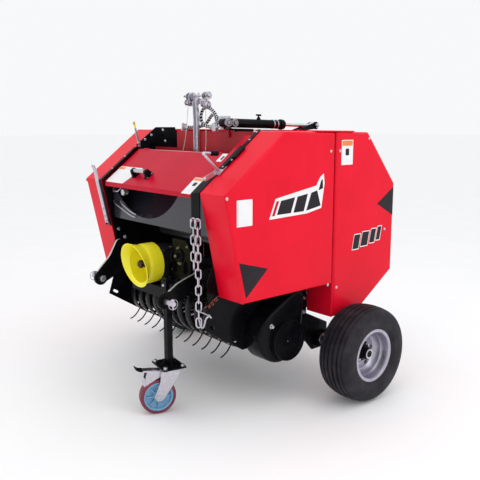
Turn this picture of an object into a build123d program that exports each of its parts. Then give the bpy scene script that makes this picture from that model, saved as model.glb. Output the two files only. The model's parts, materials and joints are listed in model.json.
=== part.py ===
# Mini round baler, towed on a tractor's two lower links and driven from its power take-off.
# Millimetres. X across the machine (right-hand side +X), Y along it (hitch end -Y), Z up from the ground.
# Profiles seen from the side are drawn as (back, up): distance behind the nose of the side shields,
# and height above the ground.
import os
from math import atan2, cos, degrees, hypot, radians, sin, tan

from build123d import *

os.makedirs("parts", exist_ok=True)

# Stock and fits
plate = 4.0                  # side plates
sheet = 3.0                  # folded sheet of shields and covers
bend_r = 12.0                # folded corners of the shields
seat = 0.3                   # gap where a piece sits on another body or on a curved face
running = 0.05               # radial clearance of a shaft in its bearing
seam_gap = 5.0               # between the shields of the body and of the tailgate

# Bale chamber: rollers on a circle round the bale
front_room = 292.0           # shields' nose to the foremost roller
chamber_r = 270.0
roller_r = 38.0
roller_journal_r = 12.0
roller_clear = 2.0
roller_end_gap = 6.0
roller_ribs = 8
roller_circle_r = chamber_r + roller_r + roller_clear
chamber_back, chamber_z = front_room + roller_r + roller_circle_r, 745.0
front_roller_angles = (111.0, 132.0, 153.0, 174.0, 195.0, 250.0)
rear_roller_angles = (88.0, 66.5, 45.0, 23.5, 2.0, -19.5, -41.0, -62.5, -84.0)

# Outline of the side shields, set off from the chamber
shield_x = 530.0             # outer face of the side shields
inner_x = 379.0              # outer face of the chamber's side plates
over_rollers = 49.0
behind_rollers = 41.0
hood_fall = 227.0            # brow to nose
crown_fall = 7.0             # brow to the rear end of the top edge
brow_back, brow_z = 294.0, chamber_z + roller_circle_r + roller_r + over_rollers
nose_z = brow_z - hood_fall
chin_back, chin_z = 89.0, chamber_z - 247.0
seam_back = chamber_back - 56.0
crown_back, crown_z = chamber_back + 155.0, brow_z - crown_fall
body_length = chamber_back + roller_circle_r + behind_rollers
tail_top_z, tail_low_z = chamber_z + 162.0, chamber_z - 240.0
keel_back, keel_z = chamber_back + 120.0, chamber_z - 395.0
slope = degrees(atan2(hood_fall, brow_back))
top_fall = crown_fall / (crown_back - brow_back)

# Tailgate hinge and its cylinder
hinge_back, hinge_z = chamber_back - 190.0, brow_z - 37.0
hinge_pin_r = 10.0
arm_t = 8.0
arm_gap = 7.0
cover_front = seam_back - 109.0
cover_back = chamber_back + 60.0
cover_t = 5.0
corner_cut = (12.0, 37.0)    # front shields' rear top corners, for the hinge arms' swing
cylinder_x = 235.0
barrel_pin = (238.0, brow_z + 32.0)
rod_pin = (chamber_back + 120.0, crown_z + 27.0)
barrel_r = 16.0
rod_r = 8.0
cylinder_eye_r = 17.0
cylinder_eye_w = 24.0
cylinder_pin_r = 8.0
barrel_reach = 330.0         # barrel's open end from its pin
rod_start = 178.0            # rod's inner end from the barrel's pin, at full reach
stroke = 131.2

# Hood lid over the twine box
lid_drop = 14.0
lid_left, lid_right = -359.0, 306.0
lid_front, lid_rear = 9.0, 196.0
lid_lip = 19.0
lid_t = 2.0
lid_pin_r = 5.0

# Road wheels
wheel_x = 632.0
wheel_back = chamber_back + 30.0
tyre_r, tyre_w = 206.0, 165.0
rim_r = 103.0                # the rim's seat for the tyre
spindle_r = 15.0
hub_r = 34.0

# Pick-up reel
reel_back, reel_z = 240.0, 375.0
tine_count, tine_pitch = 12, 64.0
tine_tip_r = 189.0
tine_d = 5.0
tine_bar_r = 85.0
tine_turn = 53.0             # first tine bar above the horizontal, as the reel stands
stripper_r = 124.0
stripper_w = 40.0
stripper_t = 2.5

# Hitch and power take-off
beam_back, beam_z, beam_size, beam_wall = 95.0, 555.0, 50.0, 5.0
hitch_x = 255.0
hitch_t = 12.0
hitch_pin = (-87.0, 487.0)
hitch_pin_r = 11.0
hitch_pin_reach = 62.0
shaft_z = 585.0
shaft_r = 17.5
shaft_front = -41.0
guard_r = 86.0
guard_wall = 3.0
box_front, box_rear, box_low, box_high = 30.0, 150.0, 525.0, 650.0
box_half = 75.0

# Stand with its caster
stand_x, stand_back = 207.0, -39.0
stand_post_w = 26.0
stand_plate_z = 197.0
caster_turn = -20.0
caster_trail = 50.0
caster_r = 75.0
caster_w = 45.0
pedal_reach = 146.0          # brake pedal's tip from the swivel axis
pedal_w = 36.0

front_reach = (-stand_back + pedal_reach * cos(radians(caster_turn))
               + pedal_w / 2 * abs(sin(radians(caster_turn))))
nose_y = (front_reach - body_length) / 2


def across(x):
    """Upright plane square to the axle: local x is back from the nose, local y is up."""
    return Plane(origin=(x, nose_y, 0), x_dir=(0, 1, 0), z_dir=(1, 0, 0))


def facing(back):
    """Upright plane square to the way of travel: local x is across, local y is up, seen from the front."""
    return Plane(origin=(0, nose_y + back, 0), x_dir=(1, 0, 0), z_dir=(0, -1, 0))


def top_z(back):
    """Height of the shields' top edge."""
    return brow_z - (back - brow_back) * top_fall


def hood_z(back):
    """Height of the sloping hood."""
    return nose_z + back * tan(radians(slope))


def point(x, back, up):
    return Vector(x, nose_y + back, up)


def outline(points, mode=Mode.ADD):
    """Closed profile through the points, as a face of the running sketch."""
    return Polygon(*points, align=None, mode=mode)


def inset(points, steps):
    """The clockwise profile with each edge moved in by its own step; a step below 0 moves it out."""
    lines = []
    for k, (x0, y0) in enumerate(points):
        x1, y1 = points[(k + 1) % len(points)]
        length = hypot(x1 - x0, y1 - y0)
        nx, ny = (y1 - y0) / length, -(x1 - x0) / length
        lines.append((x0 + nx * steps[k], y0 + ny * steps[k], x1 - x0, y1 - y0))
    moved = []
    for k, (bx, by, bdx, bdy) in enumerate(lines):
        ax, ay, adx, ady = lines[k - 1]
        t = ((bx - ax) * bdy - (by - ay) * bdx) / (adx * bdy - ady * bdx)
        moved.append((ax + t * adx, ay + t * ady))
    return moved


# Side shields: deep folded pans, open towards the machine
front_pan = [
    (0, nose_z),
    (brow_back, brow_z),
    (seam_back, top_z(seam_back)),
    (seam_back, chin_z),
    (chin_back, chin_z),
]
front_walls = (sheet, sheet, -sheet, -sheet, sheet)
gate_back = seam_back + seam_gap
gate_pan = [
    (gate_back, top_z(gate_back)),
    (crown_back, crown_z),
    (body_length, tail_top_z),
    (body_length, tail_low_z),
    (keel_back, keel_z),
    (gate_back, keel_z),
]
gate_walls = (sheet,) * 6


def pan(profile, walls, sign):
    """Pan of folded sheet from the profile: an outer block with folded corners less the room inside it."""
    depth = shield_x - inner_x
    with BuildPart() as room:
        with BuildSketch(across(sign * (inner_x - 1))):
            outline(inset(profile, walls))
        extrude(amount=sign * (depth + 1 - sheet))
        face = room.faces().sort_by(Axis.X)[-1 if sign > 0 else 0]
        fillet(face.edges(), bend_r - sheet)
    with BuildPart() as folded:
        with BuildSketch(across(sign * inner_x)):
            outline(profile)
        extrude(amount=sign * depth)
        face = folded.faces().sort_by(Axis.X)[-1 if sign > 0 else 0]
        fillet(face.edges(), bend_r)
        add(room.part, mode=Mode.SUBTRACT)
    return folded


arm_inner = inner_x + arm_gap
for side, sign in (("left", -1), ("right", 1)):
    with BuildPart() as shield:
        add(pan(front_pan, front_walls, sign).part)
        # Room for the tailgate's hinge arm, under the tailgate's cover
        with BuildSketch(across(sign * (shield_x - sheet - bend_r))):
            with Locations((cover_front + 100, brow_z)):
                Rectangle(200, 30)
        extrude(amount=-sign * (shield_x - inner_x), mode=Mode.SUBTRACT)
        with BuildSketch(across(sign * (shield_x + 1))):
            outline([(seam_back - corner_cut[0], brow_z + 5), (seam_back + 5, brow_z + 5),
                     (seam_back + 5, brow_z - corner_cut[1]), (seam_back, brow_z - corner_cut[1])])
        extrude(amount=-sign * 30, mode=Mode.SUBTRACT)
    shield.part.label = f"shield_front_{side}"
    export_step(shield.part, f"parts/shield_front_{side}.step")

    with BuildPart() as gate_shield:
        add(pan(gate_pan, gate_walls, sign).part)
        # The hinge arm comes forward through the front flange
        with BuildSketch(across(sign * (inner_x - 1))):
            outline([(gate_back - 2, hinge_z - 74), (gate_back + 12, hinge_z - 74),
                     (gate_back + 12, brow_z + 5), (gate_back - 2, brow_z + 5)])
        extrude(amount=sign * (arm_gap + arm_t + 12), mode=Mode.SUBTRACT)
    gate_shield.part.label = f"tailgate_shield_{side}"
    export_step(gate_shield.part, f"parts/tailgate_shield_{side}.step")


# Side plates of the bale chamber, run forward and down to carry the pick-up and the hitch beam
def roller_spots(angles):
    """Centres of the rollers round the bale, as (back, up)."""
    return [(chamber_back + roller_circle_r * cos(radians(a)),
             chamber_z + roller_circle_r * sin(radians(a))) for a in angles]


plate_top = brow_z - 22
front_plate = [
    (14, nose_z - 12), (brow_back - 4, plate_top), (seam_back, plate_top), (seam_back, keel_z - 20),
    (reel_back + 200, reel_z - 113), (reel_back - 28, reel_z - 125), (reel_back - 221, reel_z - 3),
    (beam_back - 49, beam_z - 98), (beam_back - 61, beam_z - 55), (beam_back - 65, beam_z + 5),
    (beam_back - 29, beam_z + 85),
]
gate_plate = [
    (gate_back, top_z(gate_back) - 24), (crown_back - 10, crown_z - 19), (body_length - 18, tail_top_z - 8),
    (body_length - 18, tail_low_z + 10), (keel_back - 8, keel_z + 12), (gate_back, keel_z + 12),
]
plate_slots = ((reel_back - 186, reel_z + 2), (reel_back - 72, reel_z - 74))   # for the wind guard's arms
slot_turn = degrees(atan2(-122, 193))
for side, sign in (("left", -1), ("right", 1)):
    with BuildPart() as chamber_plate:
        with BuildSketch(across(sign * (inner_x - seat))):
            outline(front_plate)
            with Locations(*roller_spots(front_roller_angles)):
                Circle(roller_journal_r + running, mode=Mode.SUBTRACT)
            with Locations((reel_back, reel_z)):
                Circle(spindle_r + running, mode=Mode.SUBTRACT)
            with Locations(*[Location((back, up, 0), (0, 0, slot_turn)) for back, up in plate_slots]):
                SlotOverall(30, 12, mode=Mode.SUBTRACT)
        extrude(amount=-sign * plate)
    chamber_plate.part.label = f"chamber_plate_{side}"
    export_step(chamber_plate.part, f"parts/chamber_plate_{side}.step")

    with BuildPart() as gate_side:
        with BuildSketch(across(sign * (inner_x - seat))):
            outline(gate_plate)
            with Locations(*roller_spots(rear_roller_angles)):
                Circle(roller_journal_r + running, mode=Mode.SUBTRACT)
        extrude(amount=-sign * plate)
    gate_side.part.label = f"tailgate_plate_{side}"
    export_step(gate_side.part, f"parts/tailgate_plate_{side}.step")

# Ribbed bale rollers with their journals
plate_inside = inner_x - seat - plate
roller_half = plate_inside - roller_end_gap
roller_valley_r = roller_r - 5


def roller_profile():
    points = []
    for k in range(roller_ribs):
        start = 360 / roller_ribs * k
        for turn, reach in ((-13, roller_valley_r), (-6, roller_r), (6, roller_r), (13, roller_valley_r)):
            a = radians(start + turn)
            points.append((reach * cos(a), reach * sin(a)))
    return outline(points)


for group, angles in (("front_rollers", front_roller_angles), ("rear_rollers", rear_roller_angles)):
    with BuildPart() as rollers:
        for back, up in roller_spots(angles):
            spot = Plane(origin=point(-roller_half, back, up), x_dir=(0, 1, 0), z_dir=(1, 0, 0))
            with BuildSketch(spot):
                roller_profile()
            extrude(amount=2 * roller_half)
            with BuildSketch(spot.offset(-roller_end_gap - plate)):
                Circle(roller_journal_r)
            extrude(amount=2 * (roller_half + roller_end_gap + plate))
    rollers.part.label = group
    export_step(rollers.part, f"parts/{group}.step")

# Tailgate: top cover over the seam, hinge arms, bracket for the rod's eye
cover_low = [(cover_front, top_z(cover_front) + seat), (cover_back, top_z(cover_back) + seat)]
with BuildPart() as cover:
    with BuildSketch(across(-shield_x)):
        outline(cover_low + [(back, up + cover_t) for back, up in reversed(cover_low)])
    extrude(amount=2 * shield_x)
cover.part.label = "tailgate_cover"
export_step(cover.part, "parts/tailgate_cover.step")

arm_profile = [
    (10, 8), (39, -16), (62, -6), (85, 6), (130, 26), (240, 22),
    (240, -45), (130, -66), (39, -56), (-6, -20),
]
arm_bolts = ((170, -12), (225, -12))
arm_boss_r = hinge_pin_r + 12
with BuildPart() as arms:
    for sign in (-1, 1):
        with BuildSketch(across(sign * arm_inner)):
            outline([(hinge_back + back, hinge_z + up) for back, up in arm_profile])
            with Locations((hinge_back, hinge_z)):
                Circle(arm_boss_r)
                Circle(hinge_pin_r + running, mode=Mode.SUBTRACT)
        extrude(amount=sign * arm_t)
        with BuildSketch(across(sign * (inner_x - seat))):
            with Locations(*[(hinge_back + back, hinge_z + up) for back, up in arm_bolts]):
                Circle(15)
        extrude(amount=sign * (arm_gap + seat))
arms.part.label = "tailgate_hinge_arms"
export_step(arms.part, "parts/tailgate_hinge_arms.step")

with BuildPart() as hinge_pins:
    for sign in (-1, 1):
        with BuildSketch(across(sign * (inner_x - seat))):
            with Locations((hinge_back, hinge_z)):
                Circle(hinge_pin_r)
        extrude(amount=sign * (arm_gap + arm_t + 12))
hinge_pins.part.label = "tailgate_hinge_pins"
export_step(hinge_pins.part, "parts/tailgate_hinge_pins.step")

# Cylinder over the chamber: barrel pinned at the front wall, rod pinned to the tailgate's cover.
# It pulls the tailgate up as it shortens.
cylinder_rise = degrees(atan2(rod_pin[1] - barrel_pin[1], rod_pin[0] - barrel_pin[0]))
cylinder_length = hypot(rod_pin[1] - barrel_pin[1], rod_pin[0] - barrel_pin[0])
cylinder_axis = Vector(0, cos(radians(cylinder_rise)), sin(radians(cylinder_rise)))
barrel_plane = Plane(origin=point(cylinder_x, *barrel_pin), x_dir=(1, 0, 0), z_dir=cylinder_axis)
cap_start = cylinder_eye_r + 3
gland_r, gland_l = barrel_r + 1.5, 26.0
valve_r = 9.0
with BuildPart() as barrel:
    with BuildSketch(barrel_plane.offset(cap_start)):
        Circle(barrel_r)
    extrude(amount=barrel_reach - cap_start)
    with BuildSketch(barrel_plane.offset(barrel_reach - gland_l)):
        Circle(gland_r)
    extrude(amount=gland_l)
    with BuildSketch(barrel_plane):
        Circle(rod_r + 3)
    extrude(amount=cap_start)
    with BuildSketch(across(cylinder_x - cylinder_eye_w / 2)):
        with Locations(barrel_pin):
            Circle(cylinder_eye_r)
    extrude(amount=cylinder_eye_w)
    # Stop valve on the barrel's top, near its middle
    valve = barrel_plane.origin + cylinder_axis * (barrel_reach - 145)
    with BuildSketch(Plane(origin=(valve.X, valve.Y, valve.Z), x_dir=(1, 0, 0), z_dir=(0, 0, 1))):
        Circle(valve_r)
    extrude(amount=barrel_r + 10)
    with BuildSketch(barrel_plane.offset(rod_start - stroke - 4)):
        Circle(rod_r + running)
    extrude(amount=cylinder_length, mode=Mode.SUBTRACT)
    with BuildSketch(across(cylinder_x - cylinder_eye_w)):
        with Locations(barrel_pin):
            Circle(cylinder_pin_r + running)
    extrude(amount=2 * cylinder_eye_w, mode=Mode.SUBTRACT)
barrel.part.label = "cylinder_barrel"
export_step(barrel.part, "parts/cylinder_barrel.step")

# The rod carries the pin of its eye; the bracket's cheeks stand clear on both sides
with BuildPart() as rod:
    with BuildSketch(barrel_plane.offset(rod_start)):
        Circle(rod_r)
    extrude(amount=cylinder_length - rod_start)
    with BuildSketch(across(cylinder_x - cylinder_eye_w / 2)):
        with Locations(rod_pin):
            Circle(cylinder_eye_r)
    extrude(amount=cylinder_eye_w)
rod.part.label = "cylinder_rod"
export_step(rod.part, "parts/cylinder_rod.step")

# Clevis brackets of the cylinder
clevis_gap = 1.0
clevis_t = 6.0
clevis_inside = cylinder_eye_w / 2 + clevis_gap


def cheeks(pin, foot):
    """Two cheeks on the foot profile, each with a round boss at the pin."""
    with BuildPart() as bracket:
        for sign in (-1, 1):
            with BuildSketch(across(cylinder_x + sign * clevis_inside)):
                outline(foot)
                with Locations(pin):
                    Circle(cylinder_eye_r)
            extrude(amount=sign * clevis_t)
            with BuildSketch(across(cylinder_x + sign * (clevis_inside + clevis_t))):
                with Locations(pin):
                    Circle(cylinder_pin_r + 3)
            extrude(amount=sign * 5)
    return bracket


cover_top = cover_t + seat
rod_bracket = cheeks(rod_pin, [
    (cover_back - 60, top_z(cover_back - 60) + cover_top), (rod_pin[0] - 8, rod_pin[1] + 14),
    (rod_pin[0] + 8, rod_pin[1] - 14), (cover_back, top_z(cover_back) + cover_top),
])
rod_bracket.part.label = "rod_bracket"
export_step(rod_bracket.part, "parts/rod_bracket.step")

# Upright wall behind the twine well, with the deck over the chamber and the clevis for the barrel
wall_t = 4.0
wall_back = brow_back
wall_top = brow_z - 3
deck_drop = 27.0
deck_z = wall_top - deck_drop
deck_t = 3.0
deck_back = hinge_back + 110
well_low = deck_z - 127
well_left = -185.0           # left end of the wall's full height and of the deck
stop_plate_t = 6.0
with BuildPart() as wall:
    with BuildSketch(across(well_left)):
        outline([(wall_back, well_low), (wall_back + wall_t, well_low), (wall_back + wall_t, deck_z),
                 (deck_back, deck_z), (deck_back, deck_z + deck_t), (wall_back + wall_t, deck_z + deck_t),
                 (wall_back + wall_t, wall_top), (wall_back, wall_top)])
    extrude(amount=plate_inside - well_left)
    with BuildSketch(across(stop_plate_t - plate_inside)):
        outline([(wall_back, well_low), (wall_back + wall_t, well_low), (wall_back + wall_t, well_low + 76),
                 (wall_back, well_low + 76)])
    extrude(amount=well_left + plate_inside - stop_plate_t)
wall.part.label = "well_wall"
export_step(wall.part, "parts/well_wall.step")

deck_top = deck_z + deck_t
under_barrel = barrel_pin[1] - barrel_r - 6
barrel_bracket = cheeks(barrel_pin, [
    (barrel_pin[0] - 10, barrel_pin[1] - 4), (barrel_pin[0] + 10, barrel_pin[1] - 12),
    (barrel_pin[0] + 22, under_barrel), (wall_back + 84, under_barrel - 3), (wall_back + 84, deck_top),
    (wall_back + wall_t + 3, deck_top), (wall_back + wall_t + 3, wall_top + 3), (wall_back - 3, wall_top + 3),
    (barrel_pin[0] - 4, barrel_pin[1] - 15),
])
with BuildPart() as barrel_clevis:
    add(barrel_bracket.part)
    with BuildSketch(across(cylinder_x - clevis_inside - clevis_t)):
        with Locations(barrel_pin):
            Circle(cylinder_pin_r)
    extrude(amount=2 * (clevis_inside + clevis_t))
barrel_clevis.part.label = "barrel_bracket"
export_step(barrel_clevis.part, "parts/barrel_bracket.step")

# Twine box: sloping floor, and the front panel with its wide round cut-out
panel_back, panel_low = 61.0, chamber_z - 8
panel_t = 3.0
panel_top = hood_z(panel_back) - lid_drop - lid_t - 22
floor_rise = [(panel_back + panel_t, panel_low + 8), (wall_back, well_low)]
scoop_x, scoop_r = -104.0, 328.0
scoop_low = panel_low + 24.0
with BuildPart() as twine_box:
    with BuildSketch(across(-plate_inside)):
        outline(floor_rise + [(back, up + 4) for back, up in reversed(floor_rise)])
    extrude(amount=2 * plate_inside)
    with BuildSketch(facing(panel_back)):
        with Locations((0, (panel_low + panel_top) / 2)):
            Rectangle(2 * plate_inside, panel_top - panel_low)
        with Locations((scoop_x, scoop_low + scoop_r)):
            Circle(scoop_r, mode=Mode.SUBTRACT)
    extrude(amount=-panel_t)
twine_box.part.label = "twine_box"
export_step(twine_box.part, "parts/twine_box.step")


# Lid with its handle
def lid_z(back):
    return hood_z(back) - lid_drop


lid_pin = (lid_rear + 7, lid_z(lid_rear) - 4)
lid_hinges = (lid_left + 40, lid_right - 80)
lid_hinge_w = 40.0
with BuildPart() as lid:
    with BuildSketch(across(lid_left)):
        front_z, rear_z = lid_z(lid_front), lid_z(lid_rear)
        outline([(lid_front, front_z), (lid_rear, rear_z), (lid_rear + 2, rear_z - 2),
                 (lid_front + 2.5, front_z - 2.5), (lid_front + 2.5, front_z - lid_lip),
                 (lid_front, front_z - lid_lip)])
    extrude(amount=lid_right - lid_left)
    for x in lid_hinges:
        with BuildSketch(across(x)):
            with Locations(lid_pin):
                Circle(lid_pin_r + 4)
            outline([(lid_rear - 6, lid_z(lid_rear - 6)), (lid_pin[0], lid_pin[1] + lid_pin_r + 3),
                     (lid_pin[0], lid_pin[1] - 4), (lid_rear - 6, lid_z(lid_rear - 6) - 6)])
            with Locations(lid_pin):
                Circle(lid_pin_r + running, mode=Mode.SUBTRACT)
        extrude(amount=lid_hinge_w)
lid.part.label = "lid"
export_step(lid.part, "parts/lid.step")

lid_face = Plane(origin=point(0, 0, lid_z(0)), x_dir=(1, 0, 0),
                 z_dir=(0, -sin(radians(slope)), cos(radians(slope))))
handle_left, handle_right = -182.0, -52.0
handle_up, handle_rise, handle_r = 84.0, 24.0, 8.0
with BuildPart() as handle:
    for x, w in ((handle_left, 26), (handle_right - 26, 26)):
        with BuildSketch(lid_face):
            with Locations((x + w / 2, handle_up)):
                Rectangle(w, 34)
        extrude(amount=3)
        with BuildSketch(Plane(origin=lid_face.from_local_coords((x + w / 2 - 3, handle_up, 0)),
                               x_dir=lid_face.y_dir, z_dir=(1, 0, 0))):
            outline([(-17, 1), (17, 1), (10, handle_rise + handle_r), (-10, handle_rise + handle_r)])
        extrude(amount=6)
    with BuildSketch(Plane(origin=lid_face.from_local_coords((handle_left, handle_up, handle_rise)),
                           x_dir=lid_face.y_dir, z_dir=(1, 0, 0))):
        Circle(handle_r)
    extrude(amount=handle_right - handle_left)
handle.part.label = "lid_handle"
export_step(handle.part, "parts/lid_handle.step")

with BuildPart() as lid_rod:
    with BuildSketch(across(-plate_inside)):
        with Locations(lid_pin):
            Circle(lid_pin_r)
    extrude(amount=2 * plate_inside)
lid_rod.part.label = "lid_hinge_rod"
export_step(lid_rod.part, "parts/lid_hinge_rod.step")

# Frame round the hood: sealing strips over the side plates, the post and rail right of the lid
strip_w, strip_t = 20.0, 4.0
strip_front = -6.0
strip_rears = {-1: 186.0, 1: brow_back + 4}      # the left-hand one ends at the stop plate
rail_left = 322.0
post_low = chamber_z + 3
grip_r = 9.0
grip_span = (77.0, 228.0)
slope_cos, slope_sin = cos(radians(slope)), sin(radians(slope))
with BuildPart() as strips:
    for sign in (-1, 1):
        with BuildSketch(across(sign * (inner_x - strip_w / 2))):
            strip_rear = strip_rears[sign]
            strip_low = [(strip_front, hood_z(strip_front) + seat), (strip_rear, hood_z(strip_rear) + seat)]
            outline(strip_low + [(back, up + strip_t) for back, up in reversed(strip_low)])
        extrude(amount=sign * strip_w)
        # Web that stands on the side plate's top edge
        with BuildSketch(across(sign * plate_inside)):
            outline([(14, nose_z - 12), (brow_back - 4, plate_top),
                     (brow_back - 4, hood_z(brow_back - 4) + 1),
                     (14, hood_z(14) + 1)])
        extrude(amount=sign * plate)
    # Rubber-covered bar on the right-hand strip
    grip_start = Vector(inner_x + 2, nose_y + grip_span[0], hood_z(grip_span[0]) + strip_t + grip_r - 1)
    with BuildSketch(Plane(origin=grip_start, x_dir=(1, 0, 0), z_dir=(0, slope_cos, slope_sin))):
        Circle(grip_r)
    extrude(amount=(grip_span[1] - grip_span[0]) / slope_cos)
strips.part.label = "hood_strips"
export_step(strips.part, "parts/hood_strips.step")

with BuildPart() as post_rail:
    with BuildSketch(across(rail_left)):
        outline([(0, post_low), (6, post_low), (6, hood_z(6) - 12),
                 (lid_rear + 80, hood_z(lid_rear + 80) - 12),
                 (lid_rear + 80, hood_z(lid_rear + 80) - 4), (0, hood_z(0) - 4)])
    extrude(amount=plate_inside - rail_left)
post_rail.part.label = "hood_post"
export_step(post_rail.part, "parts/hood_post.step")

# Black plate of the twine arm's stop, on the left-hand side plate
with BuildPart() as stop_plate:
    with BuildSketch(across(-plate_inside)):
        outline([(189, hood_z(189) + 12), (brow_back + 6, brow_z + 12), (hinge_back - 38, brow_z + 12),
                 (hinge_back - 12, brow_z - 85), (wall_back + 6, well_low + 40),
                 (wall_back + 6, well_low + 8),
                 (wall_back - 4, well_low + 8)])
        with Locations((wall_back + 40, brow_z - 30), (wall_back - 20, brow_z - 75)):
            Circle(7, mode=Mode.SUBTRACT)
    extrude(amount=stop_plate_t)
stop_plate.part.label = "twine_stop_plate"
export_step(stop_plate.part, "parts/twine_stop_plate.step")

# Pointer for the bale's size, standing on the stop plate's front corner
with BuildPart() as pointer:
    with BuildSketch(across(stop_plate_t - plate_inside)):
        outline([(196, brow_z - 74), (208, brow_z - 70), (179, brow_z + 38), (171, brow_z + 36)])
    extrude(amount=4)
pointer.part.label = "bale_pointer"
export_step(pointer.part, "parts/bale_pointer.step")

# Crank of the twine brake on its strap, right-hand strip
crank_x = inner_x
crank_r = 5.0
strap_w = 18.0
strip_top = seat + strip_t
crank_foot = (62.0, hood_z(62) + strip_top + 5)
crank_knee = (15.0, brow_z - 79)
crank_end = (88.0, brow_z - 82)
grip_l = 36.0


def bar(x, start, end, r):
    """Round bar between two (back, up) points, with a round end at its start."""
    way = Vector(0, end[0] - start[0], end[1] - start[1])
    with BuildPart() as round_bar:
        with BuildSketch(Plane(origin=point(x, *start), x_dir=(1, 0, 0), z_dir=way.normalized())):
            Circle(r)
        extrude(amount=way.length)
        with Locations(point(x, *start)):
            Sphere(r)
    return round_bar.part


with BuildPart() as crank:
    with BuildSketch(across(crank_x - strap_w / 2)):
        outline([(18, hood_z(18) + strip_top), (72, hood_z(72) + strip_top),
                 (72, hood_z(72) + strip_top + 10),
                 (18, hood_z(18) + strip_top + 10)])
    extrude(amount=strap_w)
    add(bar(crank_x, crank_knee, crank_foot, crank_r))
    add(bar(crank_x, crank_knee, crank_end, crank_r))
    add(bar(crank_x, (crank_end[0] - grip_l, crank_end[1] + 1.5), crank_end, crank_r + 4))
crank.part.label = "twine_crank"
export_step(crank.part, "parts/twine_crank.step")

# Twine lever: a flat bar in its channel on the left-hand front flange
flange_lean = chin_back / (nose_z - chin_z)      # the front flange runs back as it goes down


def flange_d(up):
    """How far behind the nose the front flange's face lies at a height."""
    return (nose_z - up) * flange_lean


lever_x, channel_w, channel_deep = -396.0, 30.0, 10.0
channel_low, channel_top = nose_z - 217, nose_z - 8
lever_w, lever_t = 18.0, 5.0
with BuildPart() as lever:
    with BuildSketch(across(lever_x - channel_w / 2)):
        outline([(flange_d(channel_low) - seat, channel_low), (flange_d(channel_top) - seat, channel_top),
                 (flange_d(channel_top) - seat - channel_deep, channel_top),
                 (flange_d(channel_low) - seat - channel_deep, channel_low)])
    extrude(amount=channel_w)
    with BuildSketch(across(lever_x - lever_w / 2)):
        front = -seat - channel_deep
        foot_z, top_d = channel_top - 60, flange_d(channel_top) + front
        foot_d = flange_d(foot_z) + front
        outline([(foot_d, foot_z), (top_d, channel_top), (front - 8, nose_z + 45), (front - 20, nose_z + 70),
                 (front - 25, nose_z + 68), (front - 14, nose_z + 42), (top_d - lever_t, channel_top),
                 (foot_d - lever_t, foot_z)])
    extrude(amount=lever_w)
lever.part.label = "twine_lever"
export_step(lever.part, "parts/twine_lever.step")

# Post of the twine guide on the wall, with its cross rod and the discs that brake the two strands
guide_x, guide_w, guide_t = -20.0, 18.0, 6.0
guide_low, guide_top = well_low + 60, brow_z + 153
guide_rod = (wall_back - 5, brow_z + 148)
guide_left, guide_right = -104.0, 71.0
disc_r, disc_t = 17.0, 3.0
disc_spots = (-88.0, -78.0, -56.0, -48.0, 34.0, 44.0, 62.0)
with BuildPart() as guide:
    with BuildSketch(across(guide_x - guide_w / 2)):
        outline([(wall_back, guide_low), (wall_back - guide_t, guide_low),
                 (wall_back - guide_t - 2, guide_top), (wall_back - 2, guide_top)])
    extrude(amount=guide_w)
    with BuildSketch(across(guide_left)):
        with Locations(guide_rod):
            Circle(4)
    extrude(amount=guide_right - guide_left)
    for x in disc_spots:
        with BuildSketch(across(x - disc_t / 2)):
            with Locations(guide_rod):
                Circle(disc_r)
        extrude(amount=disc_t)
guide.part.label = "twine_guide"
export_step(guide.part, "parts/twine_guide.step")

# Cross beam, hitch arms and their pins
with BuildPart() as beam:
    with BuildSketch(across(-plate_inside)):
        with Locations((beam_back, beam_z)):
            Rectangle(beam_size, beam_size)
            Rectangle(beam_size - 2 * beam_wall, beam_size - 2 * beam_wall, mode=Mode.SUBTRACT)
    extrude(amount=2 * plate_inside)
beam.part.label = "cross_beam"
export_step(beam.part, "parts/cross_beam.step")

beam_front, beam_rear = beam_back - beam_size / 2, beam_back + beam_size / 2
beam_low, beam_high = beam_z - beam_size / 2, beam_z + beam_size / 2
hitch_eye_r = 32.0
hitch_arms = {
    # the left-hand arm stands higher on the beam, the right-hand one carries the stand
    "left": [(-116, 496), (-107, 522), (-40, 582), (-1, 651), (18, 655), (beam_front, beam_high),
             (beam_front, beam_low - 6), (-24, 485), (-79, 458), (-97, 460)],
    "right": [(-118, 496), (-55, 529), (-32, 545), (8, 560), (57, 574), (beam_front, beam_high),
              (beam_front, beam_low - 12), (26, 500), (-20, 470), (-95, 456)],
}
for side, sign in (("left", -1), ("right", 1)):
    with BuildPart() as hitch:
        with BuildSketch(across(sign * (hitch_x - hitch_t / 2))):
            outline(hitch_arms[side])
            with Locations(hitch_pin):
                Circle(hitch_eye_r)
        extrude(amount=sign * hitch_t)
        with BuildSketch(across(sign * (hitch_x - hitch_t / 2 - 18))):
            with Locations(hitch_pin):
                Circle(hitch_pin_r)
        extrude(amount=sign * (hitch_t + 18 + hitch_pin_reach))
        with BuildSketch(across(sign * (hitch_x + hitch_t / 2))):
            with Locations(hitch_pin):
                Circle(hitch_pin_r + 7)
        extrude(amount=sign * 5)
    hitch.part.label = f"hitch_arm_{side}"
    export_step(hitch.part, f"parts/hitch_arm_{side}.step")

# Gearbox on the beam, with its shaft, its guard and the saddle under the guard
bearing_deep = 30.0
with BuildPart() as gearbox:
    with BuildSketch(across(-box_half)):
        outline([(box_front, box_low), (beam_front, box_low), (beam_front, beam_high), (box_rear, beam_high),
                 (box_rear, box_high), (box_front, box_high)])
    extrude(amount=2 * box_half)
    with BuildSketch(facing(box_front)):
        with Locations((0, shaft_z)):
            Circle(shaft_r + running)
    extrude(amount=-bearing_deep, mode=Mode.SUBTRACT)
gearbox.part.label = "gearbox"
export_step(gearbox.part, "parts/gearbox.step")

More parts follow.
